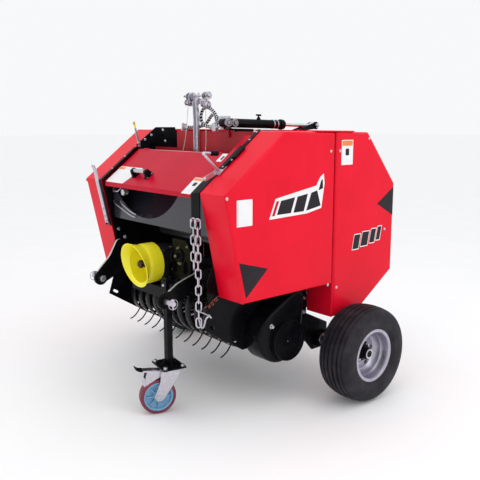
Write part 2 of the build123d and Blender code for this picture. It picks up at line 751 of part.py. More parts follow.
saddle_half, saddle_top, saddle_drop = 127.0, shaft_z - guard_r - 1, 46.0
saddle_t = 4.0
with BuildPart() as saddle:
    with BuildSketch(across(-saddle_half)):
        outline([(0, saddle_top), (beam_front - 4, saddle_top), (beam_front - 4, saddle_top - saddle_t),
                 (4, saddle_top - saddle_t), (4, saddle_top - saddle_drop), (0, saddle_top - saddle_drop)])
    extrude(amount=2 * saddle_half)
    with BuildSketch(across(-box_half + 20)):
        outline([(box_front + 4, saddle_top - 1), (beam_front - 4, saddle_top - 1), (beam_front - 4, box_low),
                 (box_front + 4, box_low)])
    extrude(amount=2 * box_half - 40)
saddle.part.label = "guard_saddle"
export_step(saddle.part, "parts/guard_saddle.step")

spline_root_r, spline_gap_w = 15.0, 8.0
with BuildPart() as shaft:
    with BuildSketch(facing(shaft_front)):
        with Locations((0, shaft_z)):
            Circle(shaft_r)
            with PolarLocations(spline_root_r + 5, 6):
                Rectangle(10, spline_gap_w, mode=Mode.SUBTRACT)
    extrude(amount=shaft_front - box_front)
    with BuildSketch(facing(box_front)):
        with Locations((0, shaft_z)):
            Circle(shaft_r)
    extrude(amount=1 - bearing_deep)
shaft.part.label = "input_shaft"
export_step(shaft.part, "parts/input_shaft.step")

# Guard: straight drum, narrow waist and a flared mouth that leans forward at the top
mouth_r, mouth_back, mouth_lean = 98.0, -64.0, 12.6
waist_r, waist_back, drum_back = 83.0, -38.0, -24.0


def guard_block(step, mouth_out):
    """Solid block of the guard's outer shape, smaller all round by the step."""
    lean = radians(mouth_lean)
    mouth = Plane(origin=point(0, mouth_back, shaft_z - 2), x_dir=(1, 0, 0),
                  z_dir=(0, -cos(lean), -sin(lean)))
    with BuildPart() as block:
        with BuildSketch(mouth.offset(mouth_out)):
            Circle(mouth_r - step + mouth_out * 0.6)
        for back, r in ((waist_back, waist_r), (drum_back, guard_r)):
            with BuildSketch(facing(back)):
                with Locations((0, shaft_z)):
                    Circle(r - step)
        loft(ruled=True)
        with BuildSketch(facing(drum_back)):
            with Locations((0, shaft_z)):
                Circle(guard_r - step)
        extrude(amount=drum_back - box_front + (guard_wall if step else 0))
    return block.part


with BuildPart() as guard:
    add(guard_block(0, 0))
    add(guard_block(guard_wall, 1), mode=Mode.SUBTRACT)
    with BuildSketch(facing(box_front - 20)):
        with Locations((0, shaft_z)):
            Circle(shaft_r + 12)
    extrude(amount=-40, mode=Mode.SUBTRACT)
guard.part.label = "shaft_guard"
export_step(guard.part, "parts/shaft_guard.step")

# Reel with its tine bars; the tines' tips lead
reel_half = plate_inside - 8
reel_tube_r, reel_end_t, tine_bar_w = 25.0, 5.0, 18.0
tine_starts = [(k - (tine_count - 1) / 2) * tine_pitch for k in range(tine_count)]
tine_bends = ((tine_bar_r, 0.0), (125.0, -0.02), (160.0, 0.01), (tine_tip_r, 0.09))   # radius, lead (radians)
with BuildPart() as reel:
    with BuildSketch(across(-reel_half)):
        with Locations((reel_back, reel_z)):
            Circle(reel_tube_r)
    extrude(amount=2 * reel_half)
    with BuildSketch(across(-plate_inside - plate)):
        with Locations((reel_back, reel_z)):
            Circle(spindle_r)
    extrude(amount=2 * (plate_inside + plate))
    for x in (-reel_half, reel_half - reel_end_t):
        with BuildSketch(across(x)):
            with Locations((reel_back, reel_z)):
                Circle(tine_bar_r + 14)
        extrude(amount=reel_end_t)
    for turn in (0, 90, 180, 270):
        a = radians(turn + tine_turn)
        with BuildSketch(across(-reel_half)):
            with Locations((reel_back + tine_bar_r * cos(a), reel_z + tine_bar_r * sin(a))):
                Rectangle(tine_bar_w, tine_bar_w)
        extrude(amount=2 * reel_half)
        step = Vector(-sin(a), cos(a)) * (tine_d / 2)
        line = [Vector(reel_back + r * cos(a + lead), reel_z + r * sin(a + lead)) for r, lead in tine_bends]
        tine = [(p.X - step.X, p.Y - step.Y) for p in line]
        tine += [(p.X + step.X, p.Y + step.Y) for p in reversed(line)]
        for x in tine_starts:
            with BuildSketch(across(x - tine_d / 2)):
                outline(tine)
            extrude(amount=tine_d)
reel.part.label = "pickup_reel"
export_step(reel.part, "parts/pickup_reel.step")

# Stripper bands between the tines: bent round the reel, their ends bolted to a strip behind the tines' path
leg_back = reel_back + 180
strip_bar_w, strip_bar_t = 24.0, 4.0
with BuildPart() as strippers:
    for k in range(tine_count - 1):
        x = tine_starts[k] + (tine_pitch - stripper_w) / 2
        with BuildSketch(across(x)):
            with Locations((reel_back, reel_z)):
                Circle(stripper_r)
            outline([(reel_back, reel_z - stripper_r), (leg_back, reel_z - stripper_r),
                     (leg_back, reel_z + stripper_r), (reel_back, reel_z + stripper_r)])
            with Locations((reel_back, reel_z)):
                Circle(stripper_r - stripper_t, mode=Mode.SUBTRACT)
            with Locations((leg_back - 30, reel_z)):
                Rectangle(2 * (leg_back - 30 - reel_back), 2 * (stripper_r - stripper_t), mode=Mode.SUBTRACT)
        extrude(amount=stripper_w)
    for up in (1, -1):
        with BuildSketch(across(-plate_inside)):
            bar_up = up * (stripper_r - stripper_t - strip_bar_t / 2)
            with Locations((leg_back - strip_bar_w / 2, reel_z + bar_up)):
                Rectangle(strip_bar_w, strip_bar_t)
        extrude(amount=2 * plate_inside)
strippers.part.label = "stripper_bands"
export_step(strippers.part, "parts/stripper_bands.step")

# Chain case of the pick-up drive, with a round cover on its face
case_back, case_z, case_r = 338.0, 312.0, 118.0
case_boss, case_boss_r = (429.0, 449.0), 42.0
case_deep, case_round = 100.0, 14.0
case_cover, case_cover_r, case_cover_t, case_rim = (368.0, 288.0), 87.0, 18.0, 9.0
with BuildPart() as case:
    with BuildSketch(across(inner_x)):
        with Locations((case_back, case_z)):
            Circle(case_r)
        with Locations(case_boss):
            Circle(case_boss_r)
        make_hull()
    extrude(amount=case_deep)
    fillet(case.faces().sort_by(Axis.X)[-1].edges(), case_round)
    with BuildSketch(across(inner_x + case_deep)):
        with Locations(case_cover):
            Circle(case_cover_r)
    extrude(amount=case_cover_t)
    with BuildSketch(across(inner_x + case_deep + case_cover_t)):
        with Locations(case_cover):
            Circle(case_cover_r - case_rim)
    extrude(amount=-6, mode=Mode.SUBTRACT)
case.part.label = "chain_case"
export_step(case.part, "parts/chain_case.step")

# Axle: beam under the chamber with its spindles, and the arms that hold it to the side plates
axle_arm_t = 8.0
axle_arm_x = inner_x + axle_arm_t
axle_w, axle_wall, axle_cap = 60.0, 5.0, 6.0
with BuildPart() as axle:
    with BuildSketch(across(-axle_arm_x - 20)):
        with Locations((wheel_back, tyre_r)):
            Rectangle(axle_w, axle_w)
            Rectangle(axle_w - 2 * axle_wall, axle_w - 2 * axle_wall, mode=Mode.SUBTRACT)
    extrude(amount=2 * (axle_arm_x + 20))
    for sign in (-1, 1):
        with BuildSketch(across(sign * (axle_arm_x + 20 - axle_cap))):
            with Locations((wheel_back, tyre_r)):
                Rectangle(axle_w, axle_w)
        extrude(amount=sign * axle_cap)
        with BuildSketch(across(sign * (axle_arm_x + 20))):
            with Locations((wheel_back, tyre_r)):
                Circle(spindle_r)
        extrude(amount=sign * (wheel_x - axle_arm_x + 22))
axle.part.label = "axle_beam"
export_step(axle.part, "parts/axle_beam.step")

with BuildPart() as axle_arms:
    for sign in (-1, 1):
        with BuildSketch(across(sign * (inner_x - seat))):
            outline([(seam_back - 84, keel_z + 80), (seam_back - 6, keel_z + 80),
                     (seam_back - 6, keel_z - 10),
                     (wheel_back + 46, tyre_r + 66), (wheel_back + 46, tyre_r - 46),
                     (wheel_back - 50, tyre_r - 46), (seam_back - 84, keel_z - 50)])
            with Locations((wheel_back, tyre_r)):
                Rectangle(axle_w, axle_w, mode=Mode.SUBTRACT)
        extrude(amount=sign * (axle_arm_t + seat))
axle_arms.part.label = "axle_arms"
export_step(axle_arms.part, "parts/axle_arms.step")

# Road wheels: profiles are (from the wheel's axis, outwards from its middle)
shoulder_r = tyre_r - 46
side_half = tyre_w / 2 - 2
tread_half = 58.0
rim_half, rim_wall = 66.0, 5.0
dish_r, dish_in, dish_out, dish_t = 76.0, -6.0, 22.0, 4.0
hand_holes, hand_hole_r, hand_hole_spot = 5, 12.0, 59.0
hub_inner, hub_outer = -60.0, 40.0
hub_flange_w, hub_flange_t = 78.0, 8.0
for side, sign in (("left", -1), ("right", 1)):
    hub_spot = point(sign * wheel_x, wheel_back, tyre_r)
    radial = Plane(origin=hub_spot, x_dir=(0, 0, 1), z_dir=(0, 1, 0))
    spin = Axis(hub_spot, (1, 0, 0))
    face = Plane(origin=hub_spot, x_dir=(0, 1, 0), z_dir=(sign, 0, 0))
    with BuildPart() as tyre:
        with BuildSketch(radial):
            outline([(rim_r, -side_half), (shoulder_r, -side_half), (tyre_r, -tread_half),
                     (tyre_r, tread_half), (shoulder_r, side_half), (rim_r, side_half)])
        revolve(axis=spin)
    tyre.part.label = f"tyre_{side}"
    export_step(tyre.part, f"parts/tyre_{side}.step")

    rim_seat = rim_r - seat
    with BuildPart() as rim:
        with BuildSketch(radial):
            outline([(rim_seat - rim_wall, -rim_half), (rim_seat, -rim_half),
                     (rim_seat, rim_half), (rim_seat - rim_wall, rim_half)])
            dish = [(hub_r + seat, dish_in), (dish_r, dish_in), (rim_seat - 1, dish_out)]
            outline([(r, sign * x) for r, x in dish] + [(r, sign * (x + dish_t)) for r, x in reversed(dish)])
        revolve(axis=spin)
        with BuildSketch(face.offset(dish_in - 1)):
            with PolarLocations(hand_hole_spot, hand_holes):
                Circle(hand_hole_r)
        extrude(amount=dish_t + 2, mode=Mode.SUBTRACT)
    rim.part.label = f"rim_{side}"
    export_step(rim.part, f"parts/rim_{side}.step")

    with BuildPart() as hub:
        with BuildSketch(face.offset(hub_inner)):
            Circle(hub_r)
        extrude(amount=hub_outer - hub_inner)
        with BuildSketch(face.offset(dish_in + dish_t)):
            RectangleRounded(hub_flange_w, hub_flange_w, 12)
        extrude(amount=hub_flange_t)
        with BuildSketch(face.offset(hub_inner)):
            Circle(spindle_r + running)
        extrude(amount=hub_outer - hub_inner, mode=Mode.SUBTRACT)
    hub.part.label = f"hub_{side}"
    export_step(hub.part, f"parts/hub_{side}.step")

# Stand: sleeve on the hitch arm, post with its foot plate, caster
stand_top, sleeve_low, sleeve_top = 610.0, 488.0, 590.0
sleeve_wall = 5.0
stand_plate_w, stand_plate_d, stand_plate_t = 130.0, 100.0, 6.0
stand_spot = point(stand_x, stand_back, 0)
arm_face = hitch_x - hitch_t / 2 - stand_x
with BuildPart() as sleeve:
    with BuildSketch(Plane.XY.offset(sleeve_low)):
        with Locations((stand_spot.X, stand_spot.Y)):
            Rectangle(stand_post_w + 2 * sleeve_wall, stand_post_w + 2 * sleeve_wall)
            with Locations((arm_face / 2, 0)):
                Rectangle(arm_face, 20)
            Rectangle(stand_post_w + 2 * seat, stand_post_w + 2 * seat, mode=Mode.SUBTRACT)
    extrude(amount=sleeve_top - sleeve_low)
sleeve.part.label = "stand_sleeve"
export_step(sleeve.part, "parts/stand_sleeve.step")

with BuildPart() as post:
    with BuildSketch(Plane.XY.offset(stand_plate_z)):
        with Locations((stand_spot.X, stand_spot.Y)):
            Rectangle(stand_post_w, stand_post_w)
    extrude(amount=stand_top - stand_plate_z)
    with BuildSketch(Plane.XY.offset(stand_plate_z)):
        with Locations(Location((stand_spot.X, stand_spot.Y, 0), (0, 0, caster_turn / 2))):
            Rectangle(stand_plate_w, stand_plate_d)
    extrude(amount=stand_plate_t)
post.part.label = "stand_post"
export_step(post.part, "parts/stand_post.step")

roll = Vector(cos(radians(caster_turn)), sin(radians(caster_turn)), 0)
ahead = Vector(sin(radians(caster_turn)), -cos(radians(caster_turn)), 0)
fork_plane = Plane(origin=(stand_spot.X, stand_spot.Y, stand_plate_z), x_dir=roll, z_dir=(0, 0, 1))
fork_side = Plane(origin=(stand_spot.X, stand_spot.Y, 0), x_dir=-ahead, z_dir=roll)
caster_pin_r = 6.0
fork_inside, fork_t = 28.0, 4.0
crown_low, crown_t = stand_plate_z - 22, 10.0
pedal_z = 178.0
with BuildPart() as fork:
    with BuildSketch(fork_plane.offset(crown_low - stand_plate_z)):
        Rectangle(2 * (fork_inside + fork_t), 80)
    extrude(amount=crown_t)
    with BuildSketch(fork_plane.offset(crown_low + crown_t - stand_plate_z)):
        Circle(30)
    extrude(amount=stand_plate_z - crown_low - crown_t - seat)
    for x in (-fork_inside - fork_t, fork_inside):
        with BuildSketch(fork_side.offset(x)):
            outline([(-40, crown_low + crown_t), (40, crown_low + crown_t), (10, 120),
                     (-caster_trail + 12, caster_r - 12), (-caster_trail - 12, caster_r - 12),
                     (-caster_trail - 14, caster_r + 10), (-40, 140)])
        extrude(amount=fork_t)
    with BuildSketch(fork_side.offset(-fork_inside - fork_t - 6)):
        with Locations((-caster_trail, caster_r)):
            Circle(caster_pin_r)
    extrude(amount=2 * (fork_inside + fork_t + 6))
    # Brake pedal, ahead of the crown
    with BuildSketch(fork_side.offset(-pedal_w / 2)):
        outline([(-38, crown_low), (-38, crown_low + 6), (-100, pedal_z - 8), (-pedal_reach, pedal_z + 6),
                 (-pedal_reach, pedal_z), (-100, pedal_z - 14)])
    extrude(amount=pedal_w)
fork.part.label = "caster_fork"
export_step(fork.part, "parts/caster_fork.step")

tread_t = 14.0
with BuildPart() as tread:
    with BuildSketch(fork_side.offset(-caster_w / 2)):
        with Locations((-caster_trail, caster_r)):
            Circle(caster_r)
            Circle(caster_r - tread_t, mode=Mode.SUBTRACT)
    extrude(amount=caster_w)
tread.part.label = "caster_tread"
export_step(tread.part, "parts/caster_tread.step")

with BuildPart() as core:
    with BuildSketch(fork_side.offset(-caster_w / 2 + 2)):
        with Locations((-caster_trail, caster_r)):
            Circle(caster_r - tread_t)
            Circle(caster_pin_r + running, mode=Mode.SUBTRACT)
    extrude(amount=caster_w - 4)
core.part.label = "caster_core"
export_step(core.part, "parts/caster_core.step")

# Lifting chain on the right-hand front post: a long strand with a hook, and a short one beside it
link_l, link_w, link_wire, link_gap = 43.0, 22.0, 5.5, 0.9
link_step = link_l - 2 * link_wire - link_gap
chain_back, chain_pin_r, chain_top = -14.0, 4.0, chamber_z + 66
strands = ((plate_inside - 10, 14), (plate_inside - 30, 6))      # x, number of links
hook_eye_r, hook_t = 7.5, 5.0
hook_shape = ((-5, -9), (5, -9), (10, -26), (8, -42), (-4, -48), (-14, -42), (-15, -30), (-9, -29),
              (-7, -37), (-2, -40), (3, -37), (3, -27))          # from the eye's middle (x, up)


def oval(length, width):
    """Eight-sided loop outline, longer upright than wide."""
    c = width * 0.23
    return [(-width / 2, -length / 2 + c), (-width / 2 + c, -length / 2), (width / 2 - c, -length / 2),
            (width / 2, -length / 2 + c), (width / 2, length / 2 - c), (width / 2 - c, length / 2),
            (-width / 2 + c, length / 2), (-width / 2, length / 2 - c)]


with BuildPart() as chain:
    for x, count in strands:
        first = chain_top - (link_l / 2 - link_wire - chain_pin_r - link_gap)
        with BuildSketch(facing(chain_back - 8)):
            with Locations((x, chain_top)):
                Circle(chain_pin_r)
        extrude(amount=chain_back - 8)
        for k in range(count):
            middle = point(x, chain_back, first - k * link_step)
            across_way = Vector(1, 0, 0) if k % 2 == 0 else Vector(0, 1, 0)
            ring = Plane(origin=middle, x_dir=across_way, z_dir=across_way.cross(Vector(0, 0, 1)))
            with BuildSketch(ring.offset(-link_wire / 2)):
                outline(oval(link_l, link_w))
                outline(oval(link_l - 2 * link_wire, link_w - 2 * link_wire), Mode.SUBTRACT)
            extrude(amount=link_wire)
    last_x, last_count = strands[0]
    last = chain_top - (link_l / 2 - link_wire - chain_pin_r - link_gap) - (last_count - 1) * link_step
    eye = last - (link_l / 2 - link_wire) + link_gap - hook_eye_r
    with BuildSketch(facing(chain_back - hook_t / 2)):
        with Locations((last_x, eye)):
            Circle(hook_eye_r + 4)
            Circle(hook_eye_r, mode=Mode.SUBTRACT)
        outline([(last_x + x, eye + up) for x, up in hook_shape])
    extrude(amount=-hook_t)
chain.part.label = "lift_chain"
export_step(chain.part, "parts/lift_chain.step")

# Fittings of the two hydraulic hoses: port block at the wall, union and bulkhead on the deck
hose_d = 13.0
port_x, port_w = 183.0, 22.0
port_mid = barrel_pin[1]
port_rise = 14.0
union_x, union_w = 72.0, 24.0
bulk_x, bulk_t = -156.0, 6.0
with BuildPart() as ports:
    with BuildSketch(across(port_x)):
        outline([(wall_back - 40, port_mid - 28), (wall_back - 40, port_mid + 28), (wall_back, port_mid + 28),
                 (wall_back, port_mid - 60), (wall_back - 8, port_mid - 60), (wall_back - 8, port_mid - 28)])
    extrude(amount=port_w)
    with BuildSketch(across(union_x)):
        outline([(wall_back + 5, deck_top), (wall_back + 5, deck_top + 58), (wall_back + 23, deck_top + 58),
                 (wall_back + 23, deck_top)])
    extrude(amount=union_w)
    with BuildSketch(across(bulk_x)):
        outline([(wall_back + 6, deck_top), (wall_back + 6, deck_top + 56), (wall_back + 34, deck_top + 56),
                 (wall_back + 34, deck_top)])
    extrude(amount=bulk_t)
ports.part.label = "hose_ports"
export_step(ports.part, "parts/hose_ports.step")


def cord(points, diameter, name):
    """Round cord through (x, back, up) points, each bend 0.45 of its shorter run."""
    spots = [point(*p) for p in points]
    radii = []
    for k in range(1, len(spots) - 1):
        before, after = spots[k] - spots[k - 1], spots[k + 1] - spots[k]
        half_turn = radians(before.get_angle(after)) / 2
        radii.append(0.45 * min(before.length, after.length) / tan(half_turn))
    print(name, "bend radii in diameters:", [round(r / diameter, 1) for r in radii])
    with BuildPart() as tube:
        with BuildLine():
            path = FilletPolyline(*spots, radius=radii)
        with BuildSketch(Plane(origin=path @ 0, z_dir=path % 0)):
            Circle(diameter / 2)
        sweep()
    print(name, "length", round(path.length, 1))
    tube.part.label = name
    export_step(tube.part, f"parts/{name}.step")


upper, lower = port_mid + port_rise, port_mid - port_rise + 2
cord([(port_x, 272, upper + 2), (145, 272, upper + 2), (100, 289, upper + 34), (45.4, 301, upper + 53),
      (10.6, 304, upper + 53), (-14, 305, upper + 28), (-14, 306, upper - 6.5), (10.6, 307, upper - 31),
      (union_x, 307, upper - 31)], hose_d, "hose_upper")
cord([(port_x, 272, lower), (150, 272, lower), (112, 293, lower + 24), (80, 311, lower + 52),
      (38, 322, lower + 44), (5, 324, lower + 10), (-45, 318, lower - 8),
      (bulk_x + bulk_t, 318, lower - 8)], hose_d, "hose_lower")

twine_d = 2.5
cord([(-83, 289, guide_rod[1] - 4.4), (-88, 285, 1187), (-106, 278, 1061), (-118, 244, 952),
      (-122, 232, 931)], twine_d, "twine_left")
cord([(39, 289, guide_rod[1] - 4.4), (49, 285, 1143), (56, 278, 1057), (60, 244, 952), (62, 232, 931)],
     twine_d, "twine_right")
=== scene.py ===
# %% [markdown]
# # A mini round baler
# The machine rolls hay into small bales. A tractor tows it on two link pins and drives it through a
# shaft under the yellow guard. The model's frame comes from the workshop's solids, in metres, with
# +X to the side of the chain case, +Y to the tailgate and +Z up. This lesson dresses that frame.

# %% Load the frame
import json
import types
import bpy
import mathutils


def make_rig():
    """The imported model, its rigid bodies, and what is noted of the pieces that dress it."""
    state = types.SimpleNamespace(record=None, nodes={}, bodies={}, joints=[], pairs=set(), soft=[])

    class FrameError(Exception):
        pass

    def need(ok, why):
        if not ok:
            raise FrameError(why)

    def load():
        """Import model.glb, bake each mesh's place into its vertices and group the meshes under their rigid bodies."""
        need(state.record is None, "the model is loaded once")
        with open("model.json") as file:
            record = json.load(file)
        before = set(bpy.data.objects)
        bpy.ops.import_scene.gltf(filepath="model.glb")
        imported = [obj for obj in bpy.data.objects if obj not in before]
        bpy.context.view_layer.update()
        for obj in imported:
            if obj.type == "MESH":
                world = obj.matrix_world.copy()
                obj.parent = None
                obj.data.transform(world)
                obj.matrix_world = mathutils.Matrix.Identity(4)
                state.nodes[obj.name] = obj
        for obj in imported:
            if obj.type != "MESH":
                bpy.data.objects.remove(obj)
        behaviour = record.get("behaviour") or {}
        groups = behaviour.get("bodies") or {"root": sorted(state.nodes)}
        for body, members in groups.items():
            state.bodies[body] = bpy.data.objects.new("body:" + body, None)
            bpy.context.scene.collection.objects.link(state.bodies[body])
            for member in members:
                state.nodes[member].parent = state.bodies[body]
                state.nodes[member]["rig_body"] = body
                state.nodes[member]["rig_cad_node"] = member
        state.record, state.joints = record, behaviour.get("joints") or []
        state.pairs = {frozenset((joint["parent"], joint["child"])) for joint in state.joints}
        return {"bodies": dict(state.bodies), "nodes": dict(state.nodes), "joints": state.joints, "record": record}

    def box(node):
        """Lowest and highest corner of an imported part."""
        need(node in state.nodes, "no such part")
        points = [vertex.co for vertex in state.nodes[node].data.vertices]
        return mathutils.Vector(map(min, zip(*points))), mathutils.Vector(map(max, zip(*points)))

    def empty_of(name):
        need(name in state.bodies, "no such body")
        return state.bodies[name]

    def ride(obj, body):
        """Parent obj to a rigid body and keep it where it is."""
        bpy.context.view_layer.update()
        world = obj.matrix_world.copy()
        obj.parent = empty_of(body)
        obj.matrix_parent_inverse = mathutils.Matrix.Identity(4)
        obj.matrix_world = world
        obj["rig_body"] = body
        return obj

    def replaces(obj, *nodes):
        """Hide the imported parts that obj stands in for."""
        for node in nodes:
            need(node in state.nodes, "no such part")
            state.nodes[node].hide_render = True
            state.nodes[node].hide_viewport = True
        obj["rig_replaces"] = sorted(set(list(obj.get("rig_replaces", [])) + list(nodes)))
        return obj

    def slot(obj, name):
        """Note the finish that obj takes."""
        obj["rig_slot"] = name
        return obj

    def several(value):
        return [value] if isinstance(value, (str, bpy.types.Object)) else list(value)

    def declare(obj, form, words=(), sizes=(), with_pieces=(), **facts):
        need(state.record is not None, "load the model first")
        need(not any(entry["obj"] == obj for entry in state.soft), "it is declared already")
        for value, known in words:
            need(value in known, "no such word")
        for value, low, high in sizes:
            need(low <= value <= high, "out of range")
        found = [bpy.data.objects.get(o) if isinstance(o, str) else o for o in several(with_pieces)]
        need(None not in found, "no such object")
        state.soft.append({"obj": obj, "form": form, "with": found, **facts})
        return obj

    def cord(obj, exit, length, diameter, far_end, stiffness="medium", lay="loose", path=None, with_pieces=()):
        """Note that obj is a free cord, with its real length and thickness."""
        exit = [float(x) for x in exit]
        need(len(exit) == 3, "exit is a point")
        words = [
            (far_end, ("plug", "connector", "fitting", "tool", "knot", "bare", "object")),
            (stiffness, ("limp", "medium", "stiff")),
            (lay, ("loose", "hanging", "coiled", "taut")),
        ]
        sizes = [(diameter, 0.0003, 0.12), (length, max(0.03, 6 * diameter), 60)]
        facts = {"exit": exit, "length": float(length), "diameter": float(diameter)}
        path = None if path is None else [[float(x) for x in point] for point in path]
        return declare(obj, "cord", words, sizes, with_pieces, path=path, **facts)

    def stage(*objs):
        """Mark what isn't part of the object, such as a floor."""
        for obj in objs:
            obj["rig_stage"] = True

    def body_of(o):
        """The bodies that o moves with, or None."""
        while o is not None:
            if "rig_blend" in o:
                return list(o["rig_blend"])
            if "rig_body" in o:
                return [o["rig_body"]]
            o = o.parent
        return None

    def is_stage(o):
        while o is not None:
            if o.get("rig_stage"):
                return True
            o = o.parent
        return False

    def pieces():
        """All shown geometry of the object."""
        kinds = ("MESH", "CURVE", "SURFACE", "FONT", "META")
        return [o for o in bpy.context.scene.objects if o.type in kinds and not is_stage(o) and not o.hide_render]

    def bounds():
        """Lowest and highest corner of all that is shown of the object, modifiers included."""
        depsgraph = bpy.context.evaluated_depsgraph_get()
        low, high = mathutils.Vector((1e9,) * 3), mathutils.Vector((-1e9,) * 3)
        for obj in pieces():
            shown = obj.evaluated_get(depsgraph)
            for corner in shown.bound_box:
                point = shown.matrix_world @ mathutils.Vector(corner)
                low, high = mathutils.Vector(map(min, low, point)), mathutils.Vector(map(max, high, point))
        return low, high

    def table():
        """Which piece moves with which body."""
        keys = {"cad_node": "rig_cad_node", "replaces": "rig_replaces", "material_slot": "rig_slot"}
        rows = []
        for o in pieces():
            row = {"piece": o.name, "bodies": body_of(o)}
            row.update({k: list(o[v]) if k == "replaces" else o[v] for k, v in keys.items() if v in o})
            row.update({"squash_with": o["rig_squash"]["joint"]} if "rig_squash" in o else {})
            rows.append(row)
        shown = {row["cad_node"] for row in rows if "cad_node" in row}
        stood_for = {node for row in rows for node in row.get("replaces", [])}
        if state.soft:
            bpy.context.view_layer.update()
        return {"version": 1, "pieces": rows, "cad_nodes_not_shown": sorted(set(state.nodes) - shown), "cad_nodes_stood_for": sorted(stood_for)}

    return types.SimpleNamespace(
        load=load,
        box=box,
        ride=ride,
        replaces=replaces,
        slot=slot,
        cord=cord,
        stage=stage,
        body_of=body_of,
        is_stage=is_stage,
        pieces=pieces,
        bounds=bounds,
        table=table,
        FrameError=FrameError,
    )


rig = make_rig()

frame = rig.load()
import bpy, bmesh, json, random
from math import radians, degrees, sin, cos, pi, hypot, atan2, tan
from mathutils import Vector, Matrix, Quaternion
cad_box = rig.bounds()
print("solids:", len(frame["nodes"]), "bodies:", len(frame["bodies"]))

# %% [markdown]
# The frame's drawings use millimetres: across the machine, back from the nose of the side shields, and up.
# One helper turns such a place into metres in the scene, so each number here can be read on the drawing.

# %% Places in drawing units
nose_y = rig.box("shield_front_right")[0].y
def at(x, back, up):
    return Vector((x / 1000, nose_y + back / 1000, up / 1000))
def mm(value):
    return value / 1000
print("nose at y =", round(nose_y, 4))

# %% [markdown]
# The camera stands where the photographer stood: a little over eye height for a machine that reaches a
# person's hip, ahead of it and to its right. The lens is solved from the shields' edges, which are straight.

# %% Camera
camera = bpy.data.objects.new("camera", bpy.data.cameras.new("camera"))
bpy.context.scene.collection.objects.link(camera)
camera.data.sensor_width, camera.data.lens = 36.0, 48.455
camera.location = at(2310.8, -1447.3, 1170.9)
camera.rotation_euler = (radians(79.784), 0, radians(49.594))
bpy.context.scene.camera = camera
print("camera", [round(v, 3) for v in camera.location])

# %% [markdown]
# A product photograph is lit by large soft lamps and stands on white paper. A big pale floor and a white
# world give the soft shadow, and three large area lamps draw the long highlights on the folded sheets.

# %% Floor, world and lamps
def glow_world():
    world = bpy.data.worlds.new("studio")
    bpy.context.scene.world = world
    world.use_nodes = True
    back = world.node_tree.nodes["Background"]
    back.inputs["Color"].default_value = (0.985, 0.99, 1.0, 1)
    back.inputs["Strength"].default_value = 0.95
def lamp(name, place, target, size, power, colour=(1, 1, 1)):
    data = bpy.data.lights.new(name, "AREA")
    data.shape, data.size, data.size_y = "RECTANGLE", size[0], size[1]
    data.energy, data.color = power, colour
    light = bpy.data.objects.new(name, data)
    bpy.context.scene.collection.objects.link(light)
    light.location = place
    light.rotation_euler = (Vector(target) - Vector(place)).to_track_quat("-Z", "Y").to_euler()
glow_world()
lamp("top_lamp", (0.6, -0.2, 3.2), (0, 0.1, 0.6), (2.6, 2.6), 17)
lamp("side_lamp", (3.4, 0.4, 1.9), (0.2, 0, 0.6), (1.6, 2.4), 15)
lamp("front_lamp", (-0.8, -3.4, 1.6), (0, -0.2, 0.6), (2.2, 1.6), 2)
floor_mesh = bpy.data.meshes.new("floor")
reach = 60.0
floor_mesh.from_pydata([(-reach, -reach, 0), (reach, -reach, 0), (reach, reach, 0), (-reach, reach, 0)], [],
                       [(0, 1, 2, 3)])
floor = bpy.data.objects.new("floor", floor_mesh)
bpy.context.scene.collection.objects.link(floor)
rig.stage(floor)
bpy.context.scene.view_settings.view_transform = "Standard"
print("lamps:", [o.name for o in bpy.data.objects if o.type == "LIGHT"])
